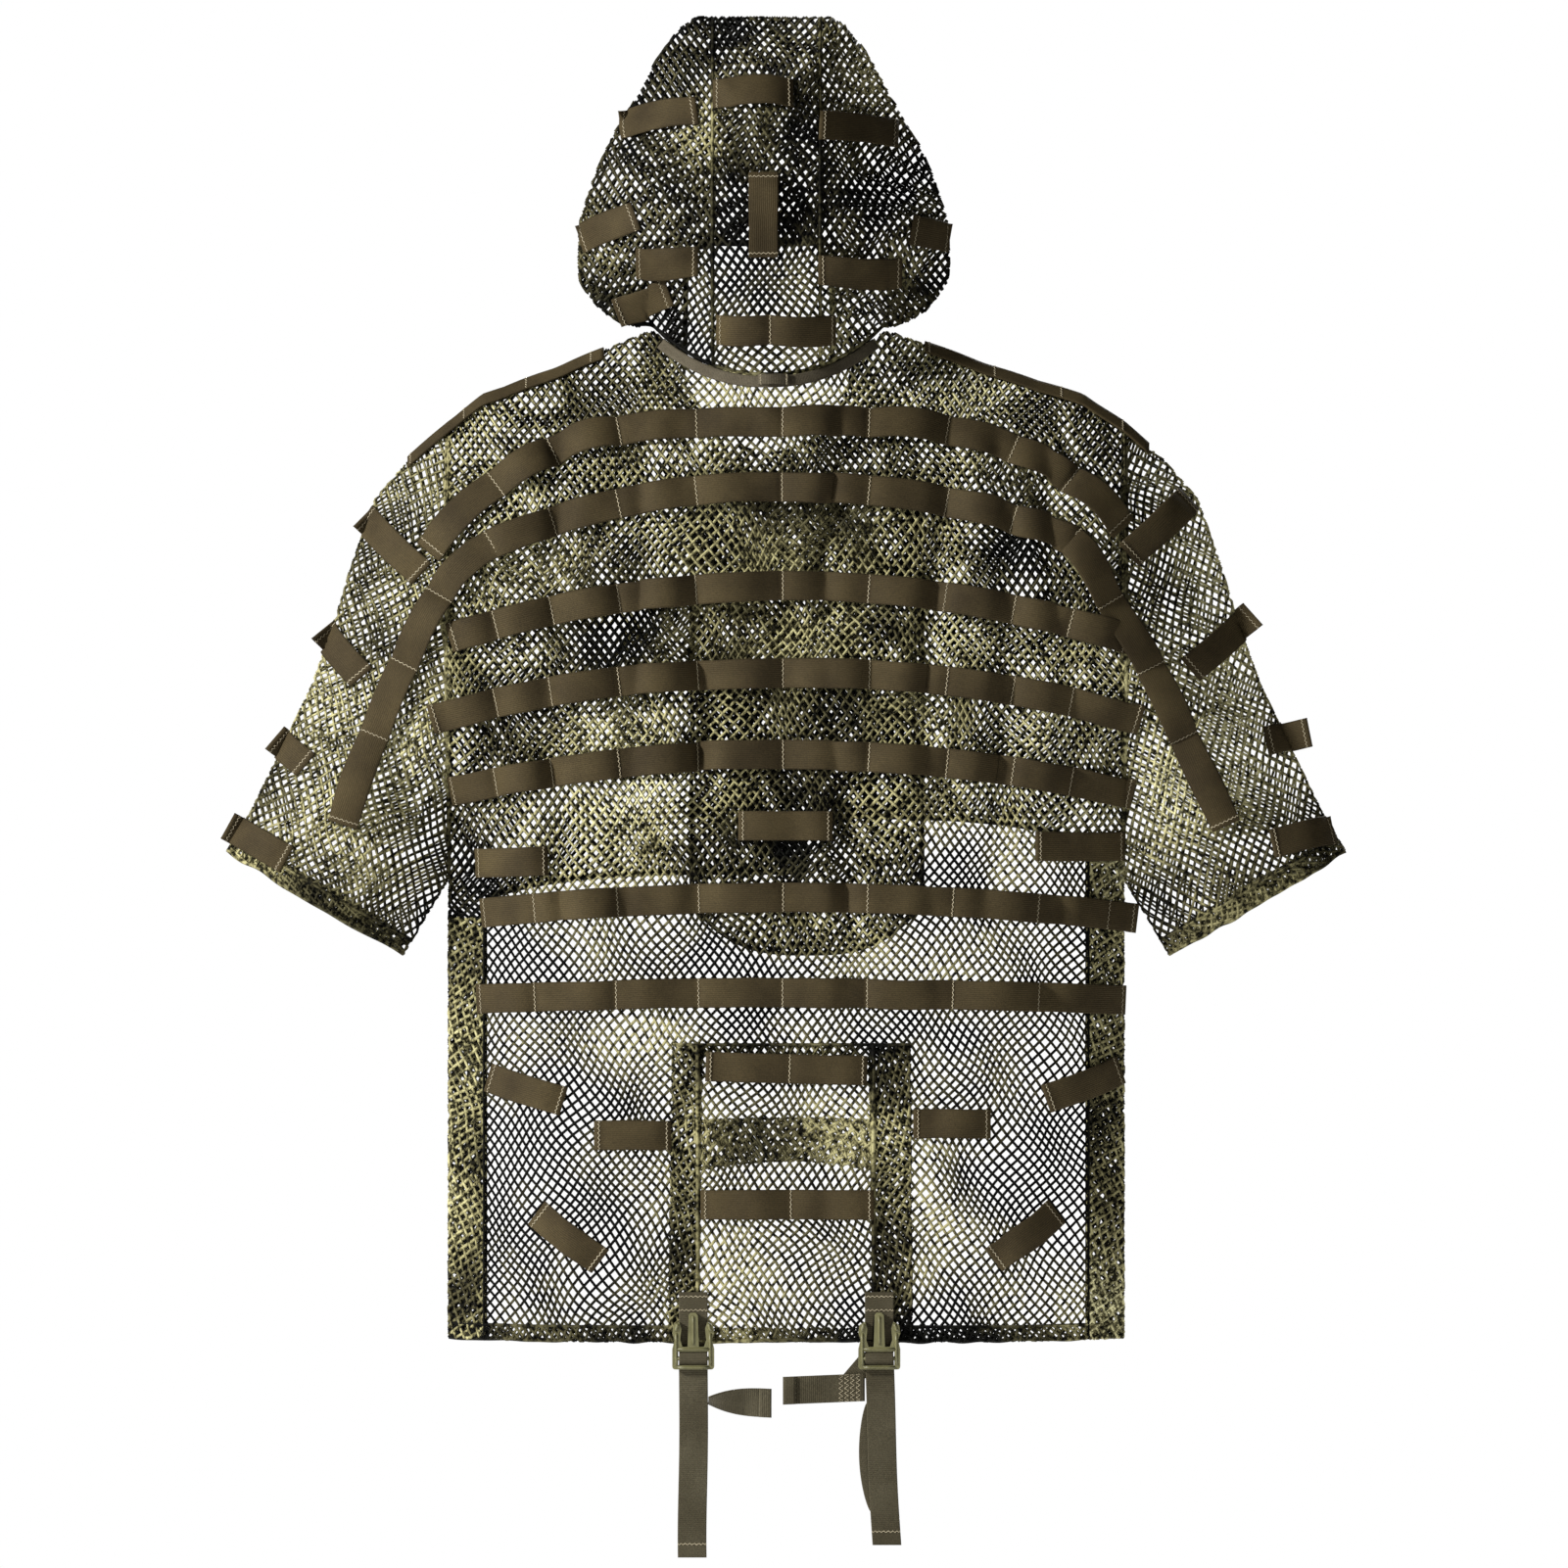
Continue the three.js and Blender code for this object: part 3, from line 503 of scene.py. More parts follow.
def ramp(nodes, links, source, stops):
    node = nodes.new("ShaderNodeValToRGB")
    links.new(source, node.inputs["Fac"])
    elements = node.color_ramp.elements
    elements[0].position, elements[0].color = stops[0][0], (*stops[0][1], 1)
    elements[1].position, elements[1].color = stops[-1][0], (*stops[-1][1], 1)
    for position, colour in stops[1:-1]:
        elements.new(position).color = (*colour, 1)
    return node.outputs["Color"]


def noise(nodes, links, vector, scale, detail=2.0):
    node = nodes.new("ShaderNodeTexNoise")
    node.inputs["Scale"].default_value = scale
    node.inputs["Detail"].default_value = detail
    links.new(vector, node.inputs["Vector"])
    return node.outputs["Fac"]


def multiply(nodes, links, a, b):
    node = nodes.new("ShaderNodeMix")
    node.data_type = "RGBA"
    node.blend_type = "MULTIPLY"
    node.inputs["Factor"].default_value = 1.0
    links.new(a, node.inputs[6])
    links.new(b, node.inputs[7])
    return node.outputs[2]


def bump(nodes, links, shader, height, strength, distance):
    node = nodes.new("ShaderNodeBump")
    node.inputs["Strength"].default_value = strength
    node.inputs["Distance"].default_value = distance
    links.new(height, node.inputs["Height"])
    links.new(node.outputs["Normal"], shader.inputs["Normal"])


def net_nodes(shade):
    """Printed net: pale, olive and near-black patches. Shade is a painted light and shade offset:
    it darkens or lightens the whole print, so one net gives lit and shaded copies.
    """

    def build(nodes, links, shader):
        where = nodes.new("ShaderNodeTexCoord").outputs["Object"]
        patches = noise(nodes, links, where, 9.0, 4.0)
        split = nodes.new("ShaderNodeSeparateXYZ")
        links.new(where, split.inputs[0])
        # Painted shade: the print is shifted darker below about the armpits, down toward the hem.
        height = nodes.new("ShaderNodeMapRange")
        height.inputs["From Min"].default_value = ARMPIT_Z - 0.10
        height.inputs["From Max"].default_value = ARMPIT_Z + 0.06
        height.inputs["To Min"].default_value = shade - 0.13
        height.inputs["To Max"].default_value = shade
        links.new(split.outputs["Z"], height.inputs["Value"])
        total = nodes.new("ShaderNodeMath")
        links.new(patches, total.inputs[0])
        links.new(height.outputs["Result"], total.inputs[1])
        # The print's palette; its near-black end is partly painted shade, the shadow between the
        # net's layers.
        broad = ramp(nodes, links, total.outputs[0], [
            (0.28, (0.004, 0.004, 0.003)), (0.40, (0.090, 0.081, 0.042)),
            (0.50, (0.270, 0.247, 0.130)), (0.61, (0.380, 0.352, 0.192)),
            (0.74, (0.600, 0.570, 0.345)),
        ])
        # Speckle at strand size, partly print and partly painted light and shade for the lit and
        # shadowed sides of the strands.
        fleck_and_painted_light = noise(nodes, links, where, 190.0, 3.0)
        strand = ramp(nodes, links, fleck_and_painted_light, [
            (0.38, (0.03, 0.03, 0.025)), (0.49, (0.50, 0.49, 0.43)), (0.60, (1.0, 1.0, 0.94)),
        ])
        links.new(multiply(nodes, links, broad, strand), shader.inputs["Base Color"])
        shader.inputs["Roughness"].default_value = 0.78
        shader.inputs["Specular IOR Level"].default_value = 0.06
        yarn = noise(nodes, links, where, 1400.0, 2.0)
        bump(nodes, links, shader, yarn, 0.5, 0.0004)

    return build


def web_nodes(dark, light, rib, across):
    """Woven webbing: ribs in real millimetres along or across it, with painted shade in their
    grooves, and a faint mottle.
    """

    def build(nodes, links, shader):
        uv = nodes.new("ShaderNodeUVMap")
        uv.uv_map = "metres"
        where = nodes.new("ShaderNodeTexCoord").outputs["Object"]
        ribs = nodes.new("ShaderNodeTexWave")
        ribs.bands_direction = "X" if across else "Y"
        ribs.inputs["Scale"].default_value = 2 * math.pi / (20 * rib)
        ribs.inputs["Distortion"].default_value = 0.0
        links.new(uv.outputs["UV"], ribs.inputs["Vector"])
        weave = noise(nodes, links, where, 900.0, 2.0)
        mottle = noise(nodes, links, where, 22.0, 3.0)
        tone = ramp(nodes, links, mottle, [(0.3, dark), (0.7, light)])
        fibre = ramp(nodes, links, weave, [(0.3, (0.62, 0.62, 0.62)), (0.7, (1.0, 1.0, 1.0))])
        # Painted shade: the rib grooves are painted darker, matching the bump below.
        shade = ramp(nodes, links, ribs.outputs["Fac"],
                     [(0.0, (0.72, 0.72, 0.72)), (0.6, (1.0, 1.0, 1.0))])
        ribbed = multiply(nodes, links, tone, shade)
        links.new(multiply(nodes, links, ribbed, fibre), shader.inputs["Base Color"])
        shader.inputs["Roughness"].default_value = 0.75
        shader.inputs["Specular IOR Level"].default_value = 0.08
        bump(nodes, links, shader, ribs.outputs["Fac"], 0.6, 0.0003)

    return build


def thread_nodes(nodes, links, shader):
    where = nodes.new("ShaderNodeTexCoord").outputs["Object"]
    ply = noise(nodes, links, where, 1500.0, 1.0)
    tone = ramp(nodes, links, ply, [(0.3, (0.22, 0.18, 0.11)), (0.7, (0.46, 0.40, 0.27))])
    links.new(tone, shader.inputs["Base Color"])
    shader.inputs["Roughness"].default_value = 0.7


def plastic_nodes(nodes, links, shader):
    where = nodes.new("ShaderNodeTexCoord").outputs["Object"]
    cloud = noise(nodes, links, where, 60.0, 3.0)
    tone = ramp(nodes, links, cloud, [(0.3, (0.075, 0.070, 0.026)), (0.7, (0.120, 0.112, 0.045))])
    links.new(tone, shader.inputs["Base Color"])
    shader.inputs["Roughness"].default_value = 0.42
    grain = noise(nodes, links, where, 1800.0, 2.0)
    bump(nodes, links, shader, grain, 0.25, 0.0002)


# Copies of one printed net, shifted by painted light and shade: the base net, a painted-light copy
# for the doubled side strips, and painted-shade copies for the hood and for the fronts and flaps.
NET = material("net_cloth", net_nodes(-0.02))
NET_PAINTED_LIGHT = material("net_painted_light", net_nodes(0.23))
NET_HOOD_PAINTED_SHADE = material("net_hood_painted_shade", net_nodes(-0.14))
NET_PAINTED_SHADE = material("net_painted_shade", net_nodes(-0.23))
WEBBING = material("webbing_weave", web_nodes(
    (0.036, 0.026, 0.012), (0.066, 0.049, 0.022), 0.0012, False))
STRAP = material("strap_weave", web_nodes(
    (0.050, 0.042, 0.024), (0.084, 0.073, 0.045), 0.0017, True))
TAPE = material("binding_weave", web_nodes(
    (0.070, 0.058, 0.038), (0.110, 0.094, 0.063), 0.0014, True))
THREAD = material("thread", thread_nodes)
PLASTIC = material("buckle_plastic", plastic_nodes)


def declare(obj, body, node):
    if body == "hood_body":
        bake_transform(obj)
    else:
        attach(obj, body)
    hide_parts(node)
    return obj


def cloth_area(polygon, out):
    """Flat area of the cloth over a polygon: its plan area, spread by its slope."""
    polygon = np.asarray(polygon, float)
    low, high = polygon.min(0), polygon.max(0)
    step = 0.006
    x, z = np.meshgrid(np.arange(low[0], high[0], step), np.arange(low[1], high[1], step))
    x, z = x.ravel(), z.ravel()
    keep = inside(x, z, polygon)
    x, z = x[keep], z[keep]
    d = 0.002
    slope_x = (out(x + d, z) - out(x - d, z)) / (2 * d)
    slope_z = (out(x, z + d) - out(x, z - d)) / (2 * d)
    return float(np.sqrt(1 + slope_x**2 + slope_z**2).sum() * step * step)


def net_piece(node, body, parts, borders=(),
              cloth=None, strand=STRAND_WIDE):
    """One net piece from (polygon, side, options), with its turned edges."""
    cloth = cloth or (NET,)
    pile = Pile()
    area = 0.0
    for polygon, side, options in parts:
        out = options.pop("out", body_out)
        net(pile, polygon, side, out, strand=strand, **options)
        area += cloth_area(polygon, out)
    for path, side, options in borders:
        out = options.pop("out", body_out)
        seam(pile, path, side, out, **options)
    obj = pile.build(node + "_net", list(cloth))
    declare(obj, body, node)
    return obj


def curve(function, start, end, count=40):
    x = np.linspace(start, end, count)
    return list(zip(x, function(x)))


NOTCH_LEFT = -0.078
NOTCH_RIGHT = 0.077
FLAP_TOP = FLAP_HIGH[2]


def back_panel():
    polygon = curve(back_top, -BODY_HALF, BODY_HALF, 60) + [
        (BODY_HALF, HEM_Z), (NOTCH_RIGHT, HEM_Z), (NOTCH_RIGHT, FLAP_TOP - 0.01),
        (NOTCH_LEFT, FLAP_TOP - 0.01), (NOTCH_LEFT, HEM_Z), (-BODY_HALF, HEM_Z),
    ]
    hem_left = [(-BODY_HALF, HEM_Z + 0.001), (NOTCH_LEFT, HEM_Z + 0.001)]
    hem_right = [(NOTCH_RIGHT, HEM_Z + 0.001), (BODY_HALF, HEM_Z + 0.001)]
    parts = [(polygon, -1, {"seed": 3})]
    borders = [
        (hem_left, -1, {"wide": 0.004, "thick": 0.004, "wobble": 0.001}),
        (hem_right, -1, {"wide": 0.004, "thick": 0.004, "wobble": 0.001}),
        ([(-BODY_HALF, -0.045), (-BODY_HALF, ARMPIT_Z)], -1, {}),
        ([(BODY_HALF, -0.045), (BODY_HALF, ARMPIT_Z)], -1, {}),
    ]
    for low, high in ((-BODY_HALF, NOTCH_LEFT), (NOTCH_RIGHT, BODY_HALF)):
        band = [(low, HEM_Z), (high, HEM_Z), (high, HEM_Z + 0.013), (low, HEM_Z + 0.013)]
        parts.append((band, -1, {"seed": 5, "lift": 0.003, "pitch": 0.7, "angle": 12.0}))
        borders.append(([(low, HEM_Z + 0.013), (high, HEM_Z + 0.013)], -1, {"lift": 0.003}))
    return net_piece("back_panel", "root", parts, borders)


def front_outline(side, yoke_z, split):
    top = curve(front_top, side * BODY_HALF, split, 40)
    bottom_x = np.linspace(split, side * (BODY_HALF - SIDE_STRIP), 20)
    bottom = [(x, yoke_z - 0.035 * (x / BODY_HALF) ** 4) for x in bottom_x]
    inner = side * (BODY_HALF - SIDE_STRIP)
    return top + bottom + [(inner, HEM_Z), (side * BODY_HALF, HEM_Z)], bottom


def front(word, side, yoke_z):
    split = (CHEST_LOW[0] + CHEST_HIGH[0]) / 2
    polygon, bottom = front_outline(side, yoke_z, split)
    inner, outer = side * (BODY_HALF - SIDE_STRIP), side * BODY_HALF
    second = [(inner, yoke_z - 0.04), (outer, yoke_z - 0.04), (outer, HEM_Z), (inner, HEM_Z)]
    hem = [(inner, HEM_Z + 0.001), (outer, HEM_Z + 0.001)]
    parts = [
        (polygon, 1, {"seed": 20 + side}),
        (second, 1, {"seed": 24 + side, "lift": -0.002, "angle": 20.0, "index": 1}),
        (second, -1, {"seed": 27 + side, "lift": 0.0034, "angle": -18.0, "index": 1}),
    ]
    borders = [
        (bottom, 1, {"wide": 0.005}), (hem, 1, {"wide": 0.005, "thick": 0.005}),
        ([(inner, yoke_z - 0.03), (inner, HEM_Z)], 1, {}),
        ([(inner, yoke_z - 0.04), (inner, HEM_Z)], -1, {"lift": 0.0034}),
        ([(outer, -0.045), (outer, ARMPIT_Z)], 1, {}),
    ]
    # The front net is the painted-shade copy; the doubled side strips (index 1) are the
    # painted-light copy.
    return net_piece(f"front_{word}", "root", parts, borders,
                     cloth=(NET_PAINTED_SHADE, NET_PAINTED_LIGHT), strand=STRAND_FULL)


def chest_flap():
    low, high = CHEST_LOW[0], CHEST_HIGH[0]
    middle, half = (low + high) / 2, (high - low) / 2
    top, bottom = CHEST_HIGH[2], CHEST_LOW[2]
    x = np.linspace(high, low, 24)
    curved = [(v, bottom + 0.045 * abs((v - middle) / half) ** 3) for v in x]
    polygon = [(low, top), (high, top)] + curved
    borders = [(polygon[1:] + polygon[:1], 1, {"lift": 0.004, "wide": 0.004})]
    parts = [(polygon, 1, {"seed": 31, "lift": 0.004, "angle": 7.0})]
    # The chest flap is the painted-shade copy of the net.
    return net_piece("chest_flap", "root", parts, borders,
                     cloth=(NET_PAINTED_SHADE,),
                     strand=STRAND_FULL)


def tail_flap():
    low, high = FLAP_LOW[0], FLAP_HIGH[0]
    top, bottom = FLAP_TOP, HEM_Z
    main = [(NOTCH_LEFT, top), (NOTCH_RIGHT, top), (NOTCH_RIGHT, bottom), (NOTCH_LEFT, bottom)]
    left = [(low, top), (NOTCH_LEFT + 0.004, top), (NOTCH_LEFT, bottom), (low - 0.004, bottom)]
    right = [(NOTCH_RIGHT - 0.004, top), (high, top), (high + 0.002, bottom), (NOTCH_RIGHT, bottom)]
    x = np.linspace(NOTCH_LEFT, NOTCH_RIGHT, 14)
    rise = 0.008 * (1 - (x / NOTCH_RIGHT) ** 2)
    tuck = [(a, TUCK_TOP_Z + 0.2 * b) for a, b in zip(x, rise)]
    tuck += [(a, TUCK_BOTTOM_Z + b) for a, b in zip(x[::-1], rise[::-1])]
    hem = [(NOTCH_LEFT, bottom), (NOTCH_RIGHT, bottom),
           (NOTCH_RIGHT, bottom + HEM_TURN), (NOTCH_LEFT, bottom + HEM_TURN)]
    parts = [(main, -1, {"seed": 41, "lift": 0.0035})]
    # The first of the two side layers takes index 1, the painted-shade copy of the net.
    for k, turn in enumerate((8.0, -16.0)):
        lift = 0.0022 + 0.0018 * k
        parts.append((left, -1, {"seed": 42 + k, "lift": lift, "angle": turn, "pitch": 0.9,
                                 "index": 1 - k}))
        parts.append((right, -1, {"seed": 46 + k, "lift": lift, "angle": -turn, "pitch": 0.9,
                                  "index": 1 - k}))
    for k, turn in enumerate((10.0, -12.0)):
        parts.append((tuck, -1, {"seed": 52 + k, "lift": 0.0025 + 0.0012 * k, "angle": turn}))
    parts.append((hem, -1, {"seed": 56, "lift": 0.0030, "pitch": 0.7, "angle": 10.0}))
    borders = [
        ([(low, top), (high, top)], -1, {"lift": 0.004}),
        ([(low, bottom + 0.001), (high, bottom + 0.001)], -1,
         {"lift": 0.004, "wide": 0.004, "thick": 0.004, "wobble": 0.001}),
        ([(NOTCH_LEFT, top), (NOTCH_LEFT, bottom)], -1, {"lift": 0.005, "wide": 0.004}),
        ([(NOTCH_RIGHT, top), (NOTCH_RIGHT, bottom)], -1, {"lift": 0.005, "wide": 0.004}),
    ]
    return net_piece("tail_flap", "root", parts, borders,
                     cloth=(NET, NET_PAINTED_SHADE))


def sleeve(word, side):
    outer = [(side * (BODY_HALF + out), z) for out, z in SLEEVE]
    corner = (side * (BODY_HALF + CUFF_INNER[0]), CUFF_INNER[1])
    armpit = (side * BODY_HALF, ARMPIT_Z)
    polygon = outer + [corner, armpit]
    cuff = [outer[-1], corner]
    lean = side * 24.0
    up = unit(np.array(outer[-2]) - np.array(outer[-1])) * CUFF_TURN
    up_in = unit(np.array(armpit) - np.array(corner)) * CUFF_TURN
    fold = [outer[-1], corner, tuple(np.array(corner) + up_in), tuple(np.array(outer[-1]) + up)]
    parts, borders = [], []
    for face in (-1, 1):
        parts.append((polygon, face, {"seed": 60 + side + 4 * face, "angle": lean}))
        parts.append((fold, face, {"seed": 70 + side, "lift": 0.0025, "angle": lean + 30,
                                   "pitch": 0.75}))
        borders.append((cuff, face, {"wide": 0.004, "thick": 0.004, "wobble": 0.001}))
        borders.append((fold[2:], face, {"lift": 0.0025}))
        borders.append((resample([(side * (BODY_HALF + 0.002), -0.045), armpit], 0.01), face, {}))
    return net_piece(f"sleeve_{word}", "root", parts, borders)


def hood_edge(level_z):
    return np.interp(level_z, [h[0] for h in HOOD], [h[1] for h in HOOD])


def hood_side(word, side, seam_x, face_x):
    levels = np.linspace(0.085, HOOD_TOP_Z, 30)
    corner = [(0.112, 0.0455), (0.126, 0.049), (0.142, 0.058), (0.154, 0.071)]
    edge = [(HOOD_X + side * half, z) for half, z in corner]
    edge += [(HOOD_X + side * hood_edge(z), z) for z in levels]
    rim = [(x, float(hood_rim(x))) for x in np.linspace(seam_x, edge[0][0], 16)]
    back = rim + edge + [(seam_x, HOOD_TOP_Z)]
    rim_front = [(x, float(hood_rim(x))) for x in np.linspace(face_x, edge[0][0], 12)]
    opening = [(seam_x, FACE_TOP), (face_x - side * 0.010, FACE_TOP - 0.004),
               (face_x, FACE_TOP - 0.03)]
    front_part = rim_front + edge + [(seam_x, HOOD_TOP_Z)] + opening
    options = {"out": hood_out}
    parts = [
        (back, -1, {**options, "seed": 80 + side, "angle": side * 6.0}),
        (front_part, 1, {**options, "seed": 84 + side, "angle": -side * 10.0}),
    ]
    borders = [
        (rim, -1, {**options, "wide": 0.004, "thick": 0.003}),
        (rim_front, 1, {**options, "wide": 0.004, "thick": 0.003}),
        ([(seam_x, float(hood_rim(seam_x))), (seam_x, HOOD_TOP_Z)], -1,
         {**options, "lift": 0.0016, "wide": 0.0034}),
        (opening + [rim_front[0]], 1, {**options, "wide": 0.006, "thick": 0.005, "lift": 0.0016}),
    ]
    # The hood uses a painted-shade copy of the net.
    return net_piece(f"hood_side_{word}", "hood_body", parts, borders,
                     cloth=(NET_HOOD_PAINTED_SHADE,), strand=STRAND_FULL)


def hood_center():
    rim = [(x, float(hood_rim(x))) for x in np.linspace(SEAM_LEFT, SEAM_RIGHT, 16)]
    back = rim + [(SEAM_RIGHT, HOOD_TOP_Z), (SEAM_LEFT, HOOD_TOP_Z)]
    front_part = [(SEAM_LEFT, FACE_TOP), (SEAM_RIGHT, FACE_TOP),
                  (SEAM_RIGHT, HOOD_TOP_Z), (SEAM_LEFT, HOOD_TOP_Z)]
    options = {"out": hood_out}
    parts = [
        (back, -1, {**options, "seed": 90, "angle": 3.0}),
        (front_part, 1, {**options, "seed": 91, "angle": -8.0}),
    ]
    borders = [
        (rim, -1, {**options, "wide": 0.004, "thick": 0.003}),
        (front_part[:2], 1, {**options, "wide": 0.006, "thick": 0.005}),
    ]
    # The hood uses a painted-shade copy of the net.
    return net_piece("hood_center", "hood_body", parts, borders,
                     cloth=(NET_HOOD_PAINTED_SHADE,), strand=STRAND_FULL)


# ---- webbing rows, with the places where each is sewn down ----
ROWS = [
    (-0.042, 0.095, 3.5, -0.316, 0.298), (-0.099, 0.070, 2.2, -0.266, 0.262),
    (-0.186, 0.047, 2.0, -0.297, 0.303), (-0.263, 0.037, 2.2, -0.314, 0.314),
    (-0.335, 0.033, 2.0, -0.298, 0.308), (-0.461, 0.018, 2.0, -0.270, 0.312),
    (-0.545, 0.008, 2.0, -0.274, 0.301),
]
ROW_STITCHES = [-0.300, -0.256, -0.207, -0.148, -0.079, -0.003, 0.073, 0.142, 0.201, 0.251, 0.297]
LOW_ROW_STITCHES = [-0.222, -0.150, -0.077, -0.003, 0.072, 0.147, 0.222, 0.285]


def sewn(pile, name, body, node, cloth=WEBBING):
    """Builds a pile of webbing and its thread as the piece that stands for a node."""
    return declare(pile.build(name, [cloth, THREAD]), body, node)


def row_bulge(index):
    return 0.0085 if index < 5 else 0.0065


def rows():
    for index, (mid, drop, power, start, end) in enumerate(ROWS):
        x = np.linspace(start, end, 80)
        path = np.stack([x, mid - drop * np.abs(x / BODY_HALF) ** power], -1)
        lengths = run_length(path)
        wanted = ROW_STITCHES if index < 5 else LOW_ROW_STITCHES
        inner = [v for v in wanted if start + 0.02 < v < end - 0.02]
        places = [start + 0.004, *inner, end - 0.004]
        marks = np.interp(places, x, lengths)
        pile = Pile()
        webbing(pile, path, marks, bulge=row_bulge(index), seed=100 + index)
        sewn(pile, f"row_{index + 1}", "root", f"webbing_row_{index + 1}")


STITCH_IN = 0.004  # from a webbing's end to its first stitch bar


def straight(middle, slope, length):
    c, s = math.cos(math.radians(slope)), math.sin(math.radians(slope))
    half = length / 2
    return [(middle[0] + end * half * c, middle[1] + end * half * s) for end in (-1, 1)]


def loop(node, middle, slope, length, body="root", marks=None, seed=0, **options):
    marks = [STITCH_IN, length - STITCH_IN] if marks is None else marks
    pile = Pile()
    webbing(pile, straight(middle, slope, length), marks, seed=seed, **options)
    return sewn(pile, node + "_web", body, node)


LOOPS = {
    "back_loop_center": ((-0.001, -0.398), 0, 0.082),
    "back_loop_left": ((-0.243, -0.430), 2, 0.064),
    "back_loop_right": ((0.260, -0.416), 0, 0.080),
    "hem_loop_left_1": ((-0.230, -0.631), -17, 0.070),
    "hem_loop_left_2": ((-0.1355, -0.671), 0, 0.067),
    "hem_loop_left_3": ((-0.192, -0.761), -37, 0.070),
    "hem_loop_right_1": ((0.263, -0.627), 20, 0.072),
    "hem_loop_right_2": ((0.146, -0.661), 0, 0.068),
    "hem_loop_right_3": ((0.211, -0.760), 37, 0.070),
    "sleeve_loop_left_1": ((-0.349, -0.149), -44, 0.075),
    "sleeve_loop_left_2": ((-0.394, -0.245), -50, 0.056),
    "sleeve_loop_left_3": ((-0.440, -0.332), -40, 0.038),
    "sleeve_loop_left_4": ((-0.469, -0.413), -29, 0.062),
    "sleeve_loop_right_1": ((0.330, -0.133), 43, 0.075),
    "sleeve_loop_right_2": ((0.386, -0.235), 41, 0.076),
    "sleeve_loop_right_3": ((0.445, -0.319), 12, 0.040),
    "sleeve_loop_right_4": ((0.458, -0.408), 12, 0.058),
}
HOOD_LOOPS = [
    ((-0.113, 0.229), 8, 0.070), ((-0.029, 0.248), 0, 0.070), ((0.064, 0.218), -3, 0.070),
    ((-0.020, 0.140), 90, 0.075), ((-0.158, 0.132), 20, 0.054), ((0.128, 0.127), -10, 0.036),
    ((-0.105, 0.100), 0, 0.055), ((0.065, 0.092), 0, 0.074), ((-0.127, 0.066), 20, 0.050),
    ((-0.009, 0.040), 0, 0.104),
]


def loops():
    for seed, (node, (middle, slope, length)) in enumerate(LOOPS.items()):
        loop(node, middle, slope, length, seed=200 + seed, bulge=0.0070)
    for index, (middle, slope, length) in enumerate(HOOD_LOOPS):
        marks = [STITCH_IN, 0.047, length - STITCH_IN] if index == 9 else None
        loop(f"hood_loop_{index + 1}", middle, slope, length, "hood_body", marks,
             seed=240 + index, out=hood_out, bulge=0.0070)
    for node, middle, slope, length in (
        ("webbing_row_8", (0, -0.612), -1.5, 0.142), ("webbing_row_9", (0.001, -0.732), 0, 0.152),
    ):
        marks = [STITCH_IN, length / 2 + 0.003, length - STITCH_IN]
        loop(node, middle, slope, length, marks=marks, seed=300, lift=FLAP_LIFT + 0.001,
             bulge=0.0075)


SLEEVE_WEB = {
    "left": [
        (-0.256, -0.147), (-0.274, -0.158), (-0.293, -0.175), (-0.307, -0.197), (-0.322, -0.226),
        (-0.340, -0.261), (-0.355, -0.296), (-0.370, -0.332), (-0.382, -0.365), (-0.392, -0.397),
    ],
    "right": [
        (0.248, -0.142), (0.262, -0.158), (0.272, -0.176), (0.283, -0.196), (0.300, -0.224),
        (0.318, -0.252), (0.337, -0.290), (0.355, -0.328), (0.373, -0.364), (0.389, -0.398),
    ],
}


def sleeve_webs():
    for word, path in SLEEVE_WEB.items():
        smooth = resample(path, 0.01)
        length = float(run_length(smooth)[-1])
        marks = [STITCH_IN, 0.070, 0.138, 0.206, length - STITCH_IN]
        if word == "right":
            smooth = smooth[::-1]
            marks = sorted(length - m for m in marks)
        pile = Pile()
        webbing(pile, smooth, marks, lift=0.0056, bulge=0.0060, seed=320)
        sewn(pile, f"sleeve_web_{word}", "root", f"sleeve_webbing_{word}")


def shoulder_web(word, side, start, end):
    """Webbing folded over the shoulder fold, half of it on the back and half on the front."""
    x = np.linspace(start, end, 50)
    fold = np.where(
        x <= BODY_HALF, shoulder_line(side * x),
        np.interp(x - BODY_HALF, [p[0] for p in SLEEVE], [p[1] for p in SLEEVE]),
    )
    across = np.linspace(1, -1, 13)
    reach = WEB / 2 - 0.003
    drop = reach * np.maximum(np.abs(across) - 0.12, 0) / 0.88
    bulge = 0.0008 * np.abs(np.sin(np.arange(50) * math.pi / 12.5))
    z = fold[:, None] + 0.0022 + bulge[:, None] - drop[None]
    base = body_out(side * (x[:, None] + np.zeros_like(z)), z - 0.0022)
    y = np.sign(across)[None] * (base + 0.0032) * np.minimum(np.abs(across) / 0.18, 1)[None]
    grid = np.stack([side * x[:, None] + np.zeros_like(z), y, z], -1)
    if side < 0:
        grid = grid[::-1]
    pile = Pile()
    outer, face = thick_sheet(pile, grid, WEB_THICK)
    lengths = run_length(grid[:, 6])
    for mark in np.arange(0.004, lengths[-1], 0.062):
        zigzag(pile, lengths, outer, face, mark, rows=21)
    sewn(pile, f"shoulder_web_{word}", "root", f"shoulder_webbing_{word}")


